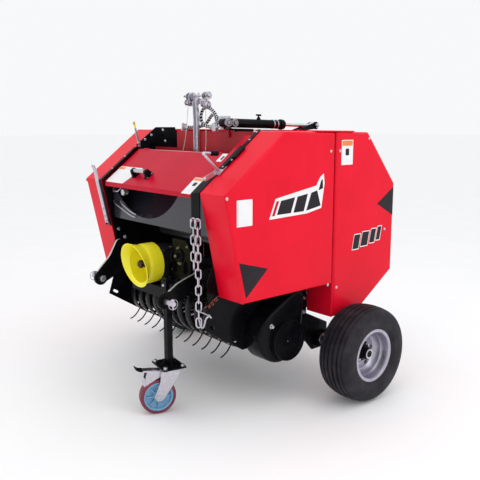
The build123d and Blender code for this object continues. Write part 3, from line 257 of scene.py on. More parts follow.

# %% [markdown]
# Every finish starts from the same shader recipe: a base colour that a noise varies a little, a roughness
# that varies with it, and a fine bump from a second noise. Paint, rubber and zinc differ only in the numbers,
# so one helper lays the recipe down and the finishes below only set its numbers.

# %% The finish recipe
finishes = {}
def link_to(tree, source, target):
    tree.links.new(source, target)
def finish(name, colour, second=None, rough=0.4, rough_range=0.08, scale=30.0, bump=0.0, bump_scale=400.0,
           metallic=0.0, coat=0.0, coat_rough=0.1, spread=(0.35, 0.65), stretch=(1, 1, 1), specular=0.5):
    material = bpy.data.materials.new(name)
    material.use_nodes = True
    tree = material.node_tree
    shader = tree.nodes["Principled BSDF"]
    shader.inputs["Metallic"].default_value = metallic
    shader.inputs["Coat Weight"].default_value = coat
    shader.inputs["Coat Roughness"].default_value = coat_rough
    shader.inputs["Specular IOR Level"].default_value = specular
    place = tree.nodes.new("ShaderNodeTexCoord")
    turn = tree.nodes.new("ShaderNodeMapping")
    turn.inputs["Scale"].default_value = stretch
    tree.links.new(place.outputs["Object"], turn.inputs["Vector"])
    cloud = tree.nodes.new("ShaderNodeTexNoise")
    cloud.inputs["Scale"].default_value = scale
    cloud.inputs["Detail"].default_value = 6
    tree.links.new(turn.outputs["Vector"], cloud.inputs["Vector"])
    ramp = tree.nodes.new("ShaderNodeValToRGB")
    ramp.color_ramp.elements[0].position, ramp.color_ramp.elements[1].position = spread
    ramp.color_ramp.elements[0].color = (*colour, 1)
    ramp.color_ramp.elements[1].color = (*(second or [c * 0.9 for c in colour]), 1)
    tree.links.new(cloud.outputs["Fac"], ramp.inputs["Fac"])
    tree.links.new(ramp.outputs["Color"], shader.inputs["Base Color"])
    sheen = tree.nodes.new("ShaderNodeMapRange")
    sheen.inputs["To Min"].default_value = max(0.02, rough - rough_range)
    sheen.inputs["To Max"].default_value = rough + rough_range
    tree.links.new(cloud.outputs["Fac"], sheen.inputs["Value"])
    tree.links.new(sheen.outputs["Result"], shader.inputs["Roughness"])
    if bump:
        grain = tree.nodes.new("ShaderNodeTexNoise")
        grain.inputs["Scale"].default_value = bump_scale
        grain.inputs["Detail"].default_value = 3
        tree.links.new(turn.outputs["Vector"], grain.inputs["Vector"])
        relief = tree.nodes.new("ShaderNodeBump")
        relief.inputs["Strength"].default_value = 1.0
        relief.inputs["Distance"].default_value = bump
        tree.links.new(grain.outputs["Fac"], relief.inputs["Height"])
        tree.links.new(relief.outputs["Normal"], shader.inputs["Normal"])
    finishes[name] = material
    return material
floor.data.materials.append(finish("paper", (0.96, 0.96, 0.97), (0.975, 0.975, 0.98), rough=0.9, rough_range=0.03, scale=3))
print("floor finish:", floor.data.materials[0].name)

# %% [markdown]
# The red is a gloss powder coat: clear, slightly pink in the light, with the faint orange peel of baked
# powder. A thin clear coat over the colour gives the sharp reflection on top of the soft one.

# %% Paints
finish("red", (0.80, 0.004, 0.026), (0.74, 0.003, 0.021), rough=0.34, rough_range=0.05, scale=6, bump=0.00006,
       bump_scale=260, coat=0.06, coat_rough=0.06, specular=0.12)
finish("lid_red", (0.55, 0.005, 0.030), (0.50, 0.004, 0.024), rough=0.34, rough_range=0.05, scale=7,
       bump=0.00006, bump_scale=260, coat=0.03, coat_rough=0.08, specular=0.08)
finish("dark_red", (0.40, 0.006, 0.016), (0.32, 0.004, 0.012), rough=0.42, scale=9, bump=0.00006, bump_scale=260,
       coat=0.06, specular=0.2)
finish("black", (0.0026, 0.0026, 0.0036), (0.0055, 0.0055, 0.007), rough=0.26, rough_range=0.08, scale=14,
       bump=0.00008, bump_scale=300, coat=0.06, coat_rough=0.08, specular=0.06)
finish("grey", (0.020, 0.020, 0.028), (0.028, 0.028, 0.038), rough=0.20, rough_range=0.05, scale=8,
       bump=0.00003, bump_scale=220, coat=0.30, coat_rough=0.04, specular=0.35)
finish("cast", (0.007, 0.007, 0.009), (0.014, 0.014, 0.016), rough=0.5, scale=30, bump=0.0004, bump_scale=180,
       specular=0.15)
print("paints:", ", ".join(finishes))

# %% [markdown]
# Bare metals are a metallic shader with a mottled colour. Zinc shows pale crystals, rolled steel shows
# stretched streaks along the part, and the hard chrome of the rod is nearly even.

# %% Metals
finish("zinc", (0.62, 0.60, 0.66), (0.50, 0.49, 0.54), rough=0.30, rough_range=0.08, scale=160, metallic=1.0,
       bump=0.00005, bump_scale=500)
finish("steel", (0.36, 0.36, 0.38), (0.24, 0.24, 0.26), rough=0.35, rough_range=0.12, scale=60, metallic=1.0,
       bump=0.00005, bump_scale=500)
finish("roller", (0.22, 0.22, 0.24), (0.10, 0.10, 0.11), rough=0.42, rough_range=0.14, scale=26, metallic=0.9,
       stretch=(0.15, 1, 1), bump=0.0001, bump_scale=200)
finish("chrome", (0.80, 0.80, 0.84), (0.70, 0.70, 0.74), rough=0.12, rough_range=0.04, scale=40, metallic=1.0)
finish("rim", (0.44, 0.42, 0.50), (0.36, 0.35, 0.42), rough=0.30, rough_range=0.06, scale=30, metallic=0.75,
       coat=0.3, bump=0.00005, bump_scale=500)
finish("brass", (0.60, 0.40, 0.18), (0.45, 0.28, 0.12), rough=0.35, scale=80, metallic=1.0)
# Bare steel for the hitch plates' cut edges, laid only on the edges that face the light, so it is partly a painted
# highlight.
finish("cut_edge", (0.66, 0.64, 0.60), (0.46, 0.44, 0.42), rough=0.38, scale=90, metallic=0.7)
finish("oiled", (0.060, 0.034, 0.022), (0.030, 0.018, 0.014), rough=0.40, scale=70, metallic=0.6)
finish("copper", (0.50, 0.14, 0.09), (0.35, 0.10, 0.07), rough=0.4, scale=80, metallic=0.7)
print("metals ready:", len(finishes))

# %% [markdown]
# Rubber, plastic and paper are not metallic. The tyre is dull and slightly dusty, the guard is a
# bright yellow moulding, the caster's tread is a maroon casting resin and its core a pale blue plastic.

# %% Rubber, plastic and label paper
finish("tyre", (0.010, 0.009, 0.013), (0.034, 0.030, 0.036), rough=0.60, rough_range=0.1, scale=18,
       bump=0.0003, bump_scale=300, spread=(0.40, 0.78), specular=0.22)
finish("hose", (0.004, 0.004, 0.005), (0.010, 0.010, 0.012), rough=0.42, scale=60, bump=0.0002, bump_scale=700,
       specular=0.12)
finish("yellow", (0.98, 0.90, 0.025), (0.96, 0.85, 0.018), rough=0.30, rough_range=0.05, scale=10, coat=0.2,
       bump=0.00005, bump_scale=200)
finish("urethane", (0.20, 0.020, 0.050), (0.15, 0.014, 0.038), rough=0.45, scale=24, bump=0.0001, bump_scale=300)
finish("blue", (0.20, 0.40, 0.58), (0.15, 0.33, 0.50), rough=0.45, scale=24, bump=0.00008, bump_scale=300)
finish("twine", (0.72, 0.68, 0.62), (0.52, 0.48, 0.42), rough=0.9, scale=220, bump=0.0006, bump_scale=900)
finish("label", (0.84, 0.84, 0.84), (0.78, 0.78, 0.79), rough=0.4, scale=20, coat=0.3)
finish("orange", (0.85, 0.24, 0.04), (0.78, 0.20, 0.03), rough=0.4, scale=20, coat=0.3)
finish("sticker_grey", (0.45, 0.45, 0.48), (0.35, 0.35, 0.38), rough=0.4, scale=20)
finish("ink", (0.014, 0.010, 0.015), (0.020, 0.015, 0.020), rough=0.35, scale=20, coat=0.05, specular=0.15)
finish("spiral", (0.66, 0.66, 0.70), (0.50, 0.50, 0.54), rough=0.45, scale=60)
finish("reflector", (0.70, 0.10, 0.06), (0.50, 0.05, 0.04), rough=0.15, scale=90, coat=0.6)
print("finishes:", len(finishes))

# %% [markdown]
# The solids that keep their own shape get a finish and a small bevel. A knife-sharp edge never exists on a
# real sheet or casting, and the bevel is what catches the light. Weld first, because the frame's triangles
# come apart at every edge.

# %% Dress the solids that stay
def dress(node, material, bevel=0.8):
    solid = frame["nodes"][node]
    solid.data.materials.clear() if not solid.material_slots else None
    for slot in solid.material_slots:
        slot.material = finishes[material]
    if not solid.material_slots:
        solid.data.materials.append(finishes[material])
    if bevel:
        weld = solid.modifiers.new("weld", "WELD")
        weld.merge_threshold = 0.00002
        edge = solid.modifiers.new("edge", "BEVEL")
        edge.width, edge.segments = mm(bevel), 2
        edge.limit_method, edge.angle_limit = "ANGLE", radians(38)
        edge.harden_normals = True

# %% [markdown]
# ## Cords first
# Two hydraulic hoses run over the twine wall: from the port block by the cylinder, in a loop, to their
# fittings on the deck. Each is a NURBS curve with a few listed points, because a smooth curve bends
# like rubber, where a chain of straight runs and arcs would bend like wire.

# %% Hoses and twine as curves
def cord_curve(name, points, thickness, material, node, weave=8):
    curve = bpy.data.curves.new(name, "CURVE")
    curve.dimensions = "3D"
    curve.bevel_depth, curve.bevel_resolution, curve.resolution_u = mm(thickness / 2), 4, weave
    line = curve.splines.new("NURBS")
    line.points.add(len(points) - 1)
    for spot, place in zip(line.points, points):
        spot.co = (*at(*place), 1)
    line.order_u = 3
    line.use_endpoint_u = True
    line.use_smooth = True
    cord = bpy.data.objects.new(name, curve)
    bpy.context.scene.collection.objects.link(cord)
    curve.materials.append(finishes[material])
    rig.ride(cord, "chassis")
    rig.slot(cord, material)
    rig.replaces(cord, node)
    return cord
brow_z, port_mid = 1142.0, 1174.0
port_x, union_x, bulkhead_x = 183.0, 72.0, -150.0
upper, lower = port_mid + 14, port_mid - 12
upper_route = [(port_x, 272, upper + 2), (145, 272, upper + 2), (100, 289, upper + 34), (45.4, 301, upper + 53),
               (10.6, 304, upper + 53), (-14, 305, upper + 28), (-14, 306, upper - 6.5), (10.6, 307, upper - 31),
               (union_x, 307, upper - 31)]
lower_route = [(port_x, 272, lower), (150, 272, lower), (112, 293, lower + 24), (80, 311, lower + 52),
               (38, 322, lower + 44), (5, 324, lower + 10), (-45, 318, lower - 8), (bulkhead_x, 318, lower - 8)]
hose_d = 13.0
hose_upper = cord_curve("hose_upper_rubber", upper_route, hose_d, "hose", "hose_upper")
hose_lower = cord_curve("hose_lower_rubber", lower_route, hose_d, "hose", "hose_lower")
print("hoses laid:", hose_upper.name, hose_lower.name)

# %% [markdown]
# The twine hangs from the brake discs of the guide down into the twine box. It is limp and thin, so its
# curve only leans a little, and its far end lies on the box's sloping floor.

# %% Twine strands
twine_d = 2.5
twine_left = [(-83, 289, brow_z + 143.6), (-88, 285, 1187), (-106, 278, 1061), (-118, 244, 952), (-122, 232, 931)]
twine_right = [(39, 289, brow_z + 143.6), (49, 285, 1143), (56, 278, 1057), (60, 244, 952), (62, 232, 931)]
strand_left = cord_curve("twine_left_strand", twine_left, twine_d, "twine", "twine_left")
strand_right = cord_curve("twine_right_strand", twine_right, twine_d, "twine", "twine_right")
for strand, route in ((strand_left, twine_left), (strand_right, twine_right)):
    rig.cord(strand, exit=tuple(at(*route[0])), length=0.35, diameter=mm(twine_d), far_end="object",
            stiffness="limp", lay="hanging")
print("twine declared: 2 strands")

# %% [markdown]
# ## Tools for the metal pieces
# Nearly every part of the machine is cut from plate, turned on a lathe or bent from round bar. Three small
# mesh helpers follow those three ways of making: a prism from a drawn outline, a lathe profile, and a rod.

# %% Plate, lathe and rod
def axes_of(direction):
    along = Vector(direction).normalized()
    side = along.orthogonal().normalized()
    return along, side, along.cross(side)
def plate(bm, outline, x0, x1):
    """Prism from a side drawing of (back, up) points, between two places across the machine."""
    near = [bm.verts.new(at(x0, *p)) for p in outline]
    far = [bm.verts.new(at(x1, *p)) for p in outline]
    bm.faces.new(near), bm.faces.new(list(reversed(far)))
    for k in range(len(outline)):
        j = (k + 1) % len(outline)
        bm.faces.new((near[j], near[k], far[k], far[j]))
def front_plate(bm, outline, back0, back1):
    """Prism from a front drawing of (x, up) points, between two distances behind the nose."""
    near = [bm.verts.new(at(x, back0, up)) for x, up in outline]
    far = [bm.verts.new(at(x, back1, up)) for x, up in outline]
    bm.faces.new(near), bm.faces.new(list(reversed(far)))
    for k in range(len(outline)):
        j = (k + 1) % len(outline)
        bm.faces.new((near[j], near[k], far[k], far[j]))
def block(bm, lo, hi):
    """Box between two corners given as (x, back, up)."""
    (x0, d0, z0), (x1, d1, z1) = lo, hi
    plate(bm, [(d0, z0), (d1, z0), (d1, z1), (d0, z1)], x0, x1)
def turn(bm, centre, direction, profile, sides=32, closed=False, start=0.0):
    """Lathe piece: profile of (along, radius) in millimetres round the axis through a scene point."""
    along, side, other = axes_of(direction)
    rings = []
    for a, r in profile:
        middle = centre + along * mm(a)
        if r < 1e-6:
            rings.append([bm.verts.new(middle)])
            continue
        rings.append([bm.verts.new(middle + (side * cos(t) + other * sin(t)) * mm(r))
                      for t in (start + 2 * pi * k / sides for k in range(sides))])
    pairs = list(zip(rings, rings[1:])) + ([(rings[-1], rings[0])] if closed else [])
    for a, b in pairs:
        for k in range(sides):
            j = (k + 1) % sides
            if len(a) == 1 and len(b) == 1:
                continue
            if len(a) == 1:
                bm.faces.new((a[0], b[j], b[k]))
            elif len(b) == 1:
                bm.faces.new((a[k], a[j], b[0]))
            else:
                bm.faces.new((a[k], a[j], b[j], b[k]))
def rod(bm, start, end, r, sides=20, ends=1.0):
    """Round bar between two scene points, with a small chamfer at both ends."""
    length = (end - start).length * 1000
    chamfer = min(ends, r * 0.4, length * 0.3)
    turn(bm, start, end - start, [(0, 0), (0, r - chamfer), (chamfer, r), (length - chamfer, r),
                                  (length, r - chamfer), (length, 0)], sides)
def bolt(bm, place, direction, size=10.0, head=0.65, washer=True):
    """Hexagon head with its washer, standing on a scene point and facing a direction."""
    w = size * 0.16 if washer else 0
    if washer:
        turn(bm, place, direction, [(0, 0), (0, size * 1.05), (w * 0.7, size * 1.05), (w, size * 0.98), (w, 0)], 20)
    turn(bm, place, direction, [(w, 0), (w, size * 0.86), (w + size * head * 0.8, size * 0.86),
                                (w + size * head, size * 0.72), (w + size * head, 0)], 6)
print("helpers: plate, block, turn, rod, bolt")

# %% [markdown]
# Each finished mesh becomes an object that rides on one body of the frame. Normals are made to face out,
# faces are smooth except across sharp corners, and a small bevel rounds the edges that a hand would feel.

# %% Make the piece
made = []
slot_names = {m["slot"] for m in frame["record"]["materials"]}
def piece(name, bm, material, body="chassis", stands_for=(), bevel=0.0, sharp=35, segments=2, slot=None):
    bmesh.ops.remove_doubles(bm, verts=bm.verts, dist=1e-6)
    bmesh.ops.recalc_face_normals(bm, faces=bm.faces)
    mesh = bpy.data.meshes.new(name)
    bm.to_mesh(mesh)
    bm.free()
    for finish_name in ([material] if isinstance(material, str) else material):
        mesh.materials.append(finishes[finish_name])
    mesh.shade_smooth()
    mesh.set_sharp_from_angle(angle=radians(sharp))
    thing = bpy.data.objects.new(name, mesh)
    bpy.context.scene.collection.objects.link(thing)
    if bevel:
        edge = thing.modifiers.new("edge", "BEVEL")
        edge.width, edge.segments = mm(bevel), segments
        edge.limit_method, edge.angle_limit = "ANGLE", radians(sharp)
        edge.harden_normals = True
    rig.ride(thing, body)
    first = slot or (material if isinstance(material, str) else material[0])
    if first in slot_names:
        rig.slot(thing, first)
    if stands_for:
        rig.replaces(thing, *([stands_for] if isinstance(stands_for, str) else stands_for))
    made.append(name)
    return thing
def bent_wire(name, points, r, material, body="chassis", stands_for=(), round_off=True, cyclic=False):
    """Bar bent through scene points, as a curve with a round section."""
    curve = bpy.data.curves.new(name, "CURVE")
    curve.dimensions = "3D"
    curve.bevel_depth, curve.bevel_resolution, curve.resolution_u = mm(r), 4, 8
    curve.use_fill_caps = True
    line = curve.splines.new("NURBS" if round_off else "POLY")
    line.points.add(len(points) - 1)
    for spot, place in zip(line.points, points):
        spot.co = (*place, 1)
    if round_off:
        line.order_u = 3
        line.use_endpoint_u = not cyclic
    line.use_cyclic_u = cyclic
    curve.materials.append(finishes[material])
    thing = bpy.data.objects.new(name, curve)
    bpy.context.scene.collection.objects.link(thing)
    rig.ride(thing, body)
    if material in slot_names:
        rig.slot(thing, material)
    if stands_for:
        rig.replaces(thing, *([stands_for] if isinstance(stands_for, str) else stands_for))
    made.append(name)
    return thing
print("record slots:", len(slot_names))

# %% [markdown]
# ## Road wheels
# The tyre is a ribbed implement tyre: four grooves run round it, and its sidewall bulges past the rim. It
# is one lathe profile, drawn as half and mirrored, with the grooves in it, so the ribs are real geometry.

# %% Tyres
wheel_x, wheel_back, tyre_r = 632.0, 670.0, 206.0
bead_r = 103.0
tread_half = [(0, 205.6), (7, 205.4), (8.5, 199), (14.5, 199), (16, 205), (30, 204), (31.5, 197.5), (37.5, 197.3),
              (39, 202.6), (50, 200.4), (52, 196), (56, 195.6), (58, 198.4), (66, 195.2), (71, 191), (74.5, 185),
              (76, 180), (77.2, 179.4), (78.4, 174), (79.9, 163), (80.3, 152), (79.8, 144), (78.4, 138), (79.0, 135.5),
              (77.6, 131), (73.6, 123.5), (68.4, 118), (66.9, 114.4), (62, 113.6), (62, bead_r)]
for side, sign in (("left", -1), ("right", 1)):
    bm = bmesh.new()
    profile = [(-a, r) for a, r in reversed(tread_half[1:])] + tread_half
    turn(bm, at(sign * wheel_x, wheel_back, tyre_r), (1, 0, 0), profile, sides=96, closed=True)
    piece(f"tyre_rubber_{side}", bm, "tyre", f"wheel_{side}", f"tyre_{side}", sharp=28)
print("tyre profile points:", 2 * len(tread_half) - 1)

# %% [markdown]
# The rim is pressed from sheet: two flanges curl outwards, the barrel drops between them, and a dished
# disc with five hand holes is welded inside. The disc's holes are cut with a boolean, then applied.

# %% Rims
def cut(thing, cutters):
    """Takes the cutters' shapes out of a mesh object for good."""
    for cutter in cutters:
        hole = thing.modifiers.new("hole", "BOOLEAN")
        hole.object, hole.operation, hole.solver = cutter, "DIFFERENCE", "EXACT"
    graph = bpy.context.evaluated_depsgraph_get()
    result = bpy.data.meshes.new_from_object(thing.evaluated_get(graph))
    thing.modifiers.clear()
    old, thing.data = thing.data, result
    bpy.data.meshes.remove(old)
    for cutter in cutters:
        bpy.data.objects.remove(cutter)
def loose(name, bm):
    """A helper object for cutting: in the scene only while it cuts."""
    bmesh.ops.recalc_face_normals(bm, faces=bm.faces)
    mesh = bpy.data.meshes.new(name)
    bm.to_mesh(mesh)
    bm.free()
    thing = bpy.data.objects.new(name, mesh)
    bpy.context.scene.collection.objects.link(thing)
    return thing
rim_skin = [(62.3, 113.6), (66.3, 113.6), (66.3, 108), (65.2, 101), (60, 98), (44, 97.6), (33, 95), (27, 90.5),
            (-30, 90.5), (-44, 97.6), (-60, 98), (-65.2, 101), (-66.3, 108), (-66.3, 113.6), (-62.3, 113.6),
            (-62.3, 102.7), (62.3, 102.7)]
disc_face = [(-2, 34.4), (-2, 44), (0.5, 48), (0.5, 69), (-1, 74), (2, 80), (14, 88), (24, 91.5)]
hand_r, hand_spot = 10.5, 59.0
for side, sign in (("left", -1), ("right", 1)):
    middle, outwards = at(sign * wheel_x, wheel_back, tyre_r), (sign, 0, 0)
    bm = bmesh.new()
    turn(bm, middle, outwards, rim_skin, sides=72, closed=True)
    turn(bm, middle, outwards, disc_face + [(a - 4, r) for a, r in reversed(disc_face)], sides=72, closed=True)
    rim = piece(f"rim_steel_{side}", bm, "rim", f"wheel_{side}", f"rim_{side}", sharp=32)
    along, up, other = axes_of(outwards)
    cutters = []
    for k in range(5):
        t = 2 * pi * (k + 0.5) / 5
        hole = bmesh.new()
        spot = middle + (up * cos(t) + other * sin(t)) * mm(hand_spot)
        turn(hole, spot, outwards, [(-12, 0), (-12, hand_r), (12, hand_r), (12, 0)], 24)
        cutters.append(loose("hand_hole", hole))
    cut(rim, cutters)
    rim.data.set_sharp_from_angle(angle=radians(32))
print("rims cut, faces:", len(rim.data.polygons))

# %% [markdown]
# The hub is a black turned casting with a square flange that four nuts hold to the disc. Its cap keeps the
# bearing's grease in. Cap and flange are lathe and prism shapes joined in one mesh.

# %% Hubs
hub_r, flange_half = 34.0, 38.0
for side, sign in (("left", -1), ("right", 1)):
    middle, outwards = at(sign * wheel_x, wheel_back, tyre_r), (sign, 0, 0)
    bm = bmesh.new()
    turn(bm, middle, outwards, [(-60, 15.2), (-60, 30), (-57, 33.8), (9, 33.8), (9, 30), (24, 27), (38, 25), (40, 22),
                                (40, 15.2)], sides=40, closed=True)
    corner = 12
    square = [(flange_half * a + corner * b, flange_half * c + corner * d) for a, b, c, d in
              ((1, 0, -1, 1), (1, 0, 1, -1), (1, -1, 1, 0), (-1, 1, 1, 0), (-1, 0, 1, -1), (-1, 0, -1, 1),
               (-1, 1, -1, 0), (1, -1, -1, 0))]
    plate(bm, [(wheel_back + a, tyre_r + b) for a, b in square], sign * (wheel_x - 1.8), sign * (wheel_x + 6))
    piece(f"hub_casting_{side}", bm, "black", f"wheel_{side}", f"hub_{side}", bevel=1.2)
    bm = bmesh.new()
    for a in (-1, 1):
        for b in (-1, 1):
            bolt(bm, at(sign * (wheel_x + 6), wheel_back + a * 27, tyre_r + b * 27), outwards, 7.0, 1.0)
    piece(f"wheel_nuts_{side}", bm, "zinc", f"wheel_{side}")
    bm = bmesh.new()
    turn(bm, at(sign * (wheel_x + 40.2), wheel_back, tyre_r), outwards,
         [(0, 0), (0, 21), (1.2, 22), (1.2, 14), (0.8, 13), (0.8, 0)], 32)
    piece(f"axle_cap_{side}", bm, "zinc", f"wheel_{side}")
print("hubs ready")
# %% [markdown]
# ## Shields and their stickers
# The big side shields are folded sheet, and their solids already have the folds. What they lack is the
# printing: vinyl stickers about a third of a millimetre thick. Each is a thin prism with rounded corners,
# because a flat picture would vanish at a grazing angle, and a prism keeps its own edge.

# %% Stickers
def rounded(outline, r, steps=4):
    """The outline with each corner replaced by a short arc."""
    spots = []
    for k, here in enumerate(outline):
        here = Vector(here)
        before, after = Vector(outline[k - 1]) - here, Vector(outline[(k + 1) % len(outline)]) - here
        reach = min(r, before.length * 0.45, after.length * 0.45)
        a, b = here + before.normalized() * reach, here + after.normalized() * reach
        for i in range(steps + 1):
            t = i / steps
            spots.append(tuple((1 - t) ** 2 * a + 2 * t * (1 - t) * here + t * t * b))
    return spots
side_face = 530.0
def sticker(name, shapes, body, faces=(-1, 1)):
    """Shapes are (outline, finish, layer, corner radius); each layer lies on the one before."""
    for sign in faces:
        bm = bmesh.new()
        finish_names = []
        for outline, finish_name, layer, corner in shapes:
            if finish_name not in finish_names:
                finish_names.append(finish_name)
            first = len(bm.faces)
            low = side_face + 0.05 + 0.12 * layer
            plate(bm, rounded(outline, corner), sign * low, sign * (low + 0.3))
            bm.faces.ensure_lookup_table()
            for face in bm.faces[first:]:
                face.material_index = finish_names.index(finish_name)
        thing = piece(f"{name}_{'right' if sign > 0 else 'left'}", bm, finish_names, body)
def slanted(low, high, up0, up1, lean):
    """Parallelogram between two places along the machine, leaning back as it goes up."""
    return [(low, up0), (high, up0), (high + lean, up1), (low + lean, up1)]
front_body, rear_body = "chassis", "tailgate"
sticker("service_label", [([(53, 797), (129, 797), (129, 896), (53, 896)], "label", 0, 3),
                          ([(58, 802), (60, 802), (60, 890), (58, 890)], "sticker_grey", 1, 0.5)], front_body)
sticker("name_panel", [
    ([(214, 810), (247, 888), (472, 925), (496, 960), (515, 972), (521, 932), (504, 832), (420, 817)], "label", 0, 3),
    ([(228, 822), (252, 878), (266, 878), (242, 822)], "lid_red", 1, 1.5),
    ([(254, 825), (276, 878), (352, 887), (330, 826)], "ink", 1, 2),
    ([(344, 826), (366, 888), (424, 896), (402, 827)], "ink", 1, 2),
    ([(416, 828), (444, 898), (478, 906), (500, 842)], "ink", 1, 2),
    ([(486, 905), (500, 944), (510, 950), (512, 912)], "ink", 1, 1.5)], front_body)
sticker("warning_corner", [([(64, 662), (210, 621), (98, 520)], "ink", 0, 1.5)], front_body)
sticker("rear_corner", [([(984, 889), (869, 820), (984, 759)], "ink", 0, 1.5)], rear_body)
sticker("model_panel", [shape for k, (low, wide) in enumerate(((708, 40), (762, 46), (822, 34), (868, 26)))
                        for shape in ((slanted(low - 3, low + wide + 3, 629 + 8 * k, 699 + 7 * k, 14), "label", 0, 3),
                                      (slanted(low, low + wide, 633 + 8 * k, 695 + 7 * k, 13), "ink", 1, 2))], rear_body)
sticker("tail_label", [([(621, 1001), (693, 1001), (693, 1104), (621, 1104)], "label", 0, 3),
                       ([(624, 1080), (690, 1080), (690, 1101), (624, 1101)], "orange", 1, 1),
                       ([(646, 1040), (668, 1040), (668, 1068), (646, 1068)], "ink", 1, 4)], rear_body)
print("stickers:", [n for n in made if n.endswith("_right")][-7:])

# %% [markdown]
# A shield is held to the side plates by screws through its face, and the edge along the seam is a return
# flange. Small zinc screws with washers sit where the photograph shows bright dots.

# %% Shield screws
for sign in (-1, 1):
    side = "right" if sign > 0 else "left"
    bm = bmesh.new()
    for back, up in ((7.5, 905), (556, 1060), (556, 500)):
        turn(bm, at(sign * side_face, back, up), (sign, 0, 0),
             [(0, 0), (0, 6.5), (0.9, 6.2), (0.9, 4.4), (2.4, 3.6), (3.0, 2.2), (3.0, 0)], 20)
    piece(f"shield_screws_{side}", bm, "zinc", "chassis")
    bm = bmesh.new()
    for back, up in ((612, 1060), (612, 480), (930, 700), (800, 1108)):
        turn(bm, at(sign * side_face, back, up), (sign, 0, 0),
             [(0, 0), (0, 6.5), (0.9, 6.2), (0.9, 4.4), (2.4, 3.6), (3.0, 2.2), (3.0, 0)], 20)
    piece(f"tail_screws_{side}", bm, "zinc", "tailgate")
print("screws set")
# %% [markdown]
# ## Hood lid
# The lid slopes like the hood. Labels lie on it, so their outlines are drawn on the lid's plane: one helper
# turns a place across the machine and a distance up the slope into a scene point.

# %% Lid labels
nose_z, lid_drop = 915.0, 14.0
slope = atan2(1142.0 - nose_z, 294.0)
lid_normal = Vector((0, -sin(slope), cos(slope)))
lid_up = Vector((0, cos(slope), sin(slope)))
def on_lid(x, back, off=0.0):
    return at(x, back, nose_z - lid_drop + back * tan(slope)) + lid_normal * mm(off)
def lid_label(name, shapes):
    bm = bmesh.new()
    finish_names = []
    for outline, finish_name, layer, corner in shapes:
        if finish_name not in finish_names:
            finish_names.append(finish_name)
        first = len(bm.faces)
        low = 0.05 + 0.12 * layer
        ring = rounded(outline, corner)
        under = [bm.verts.new(on_lid(x, back, low)) for x, back in ring]
        over = [bm.verts.new(on_lid(x, back, low + 0.3)) for x, back in ring]
        bm.faces.new(under), bm.faces.new(list(reversed(over)))
        for k in range(len(ring)):
            j = (k + 1) % len(ring)
            bm.faces.new((under[k], under[j], over[j], over[k]))
        bm.faces.ensure_lookup_table()
        for face in bm.faces[first:]:
            face.material_index = finish_names.index(finish_name)
    return piece(name, bm, finish_names, "lid")
lid_label("lid_label_left", [([(-356, 11), (-206, 11), (-166, 96), (-356, 96)], "label", 0, 4),
                             ([(-351, 80), (-304, 80), (-304, 92), (-351, 92)], "orange", 1, 1),
                             ([(-296, 84), (-190, 84), (-190, 85.5), (-296, 85.5)], "sticker_grey", 1, 0.3)])
lid_label("lid_label_right", [([(250, 4), (311, 4), (309, 78), (248, 78)], "label", 0, 3),
                              ([(252, 64), (305, 64), (305, 75), (252, 75)], "orange", 1, 1),
                              ([(272, 40), (294, 40), (294, 56), (272, 56)], "ink", 1, 4)])
lid_label("lid_label_rear", [([(277, 157), (316, 157), (316, 195), (277, 195)], "label", 0, 3),
                             ([(292, 166), (304, 166), (304, 184), (292, 184)], "ink", 1, 3)])
print("lid labels on the slope of", round(degrees(slope), 1), "degrees")

# %% [markdown]
# The handle is a bent black bar between two feet. The grip carries a silver sleeve, as in the photograph.
# Bar and feet are one piece of work: the bar is swept through rounded corners, the feet are plates.

# %% Lid handle
handle_back = 77 * cos(slope)
handle_foot, handle_up, grip_rise = (-182, -52), 20.0, 24.0
bm = bmesh.new()
for x, inwards in ((-182, 1), (-52, -1)):
    foot = rounded([(x, -21), (x + inwards * 30, -21), (x + inwards * 30, 21), (x, 21)], 6)
    under = [bm.verts.new(on_lid(u, handle_back, 0.05) + lid_up * mm(v)) for u, v in foot]
    over = [bm.verts.new(on_lid(u, handle_back, 3) + lid_up * mm(v)) for u, v in foot]
    bm.faces.new(under), bm.faces.new(list(reversed(over)))
    for k in range(len(foot)):
        j = (k + 1) % len(foot)
        bm.faces.new((under[k], under[j], over[j], over[k]))
    cheek = rounded([(-21, 1), (21, 1), (11, 33), (-11, 33)], 5)
    x0, x1 = x + inwards * 6, x + inwards * 17
    near = [bm.verts.new(on_lid(x0, handle_back, w) + lid_up * mm(v)) for v, w in cheek]
    far = [bm.verts.new(on_lid(x1, handle_back, w) + lid_up * mm(v)) for v, w in cheek]
    bm.faces.new(near), bm.faces.new(list(reversed(far)))
    for k in range(len(cheek)):
        j = (k + 1) % len(cheek)
        bm.faces.new((near[k], near[j], far[j], far[k]))
piece("handle_feet", bm, "black", "lid", "lid_handle", bevel=0.6)
bm = bmesh.new()
rod(bm, on_lid(-180, handle_back, grip_rise), on_lid(-54, handle_back, grip_rise), 7.6, 28, 2)
piece("handle_bar", bm, "black", "lid")
bm = bmesh.new()
turn(bm, on_lid(-158, handle_back, grip_rise), (1, 0, 0),
     [(0, 7.6), (0, 8.8), (1.5, 9.4), (80.5, 9.4), (82, 8.8), (82, 7.6)], 32, closed=True)
piece("handle_sleeve", bm, "zinc", "lid")
bm = bmesh.new()
for x in (-175, -59):
    for v in (-14, 14):
        bolt(bm, on_lid(x, handle_back, 3) + lid_up * mm(v), lid_normal, 4.5, 0.5)
piece("handle_bolts", bm, "zinc", "lid")
print("handle ready")

# %% [markdown]
# ## Small controls round the hood
# On the left a flat lever stands in its channel, and a thin pointer shows how full the chamber is: its tip
# is painted yellow and red. On the right a cranked rod with a black grip sets the twine brake.

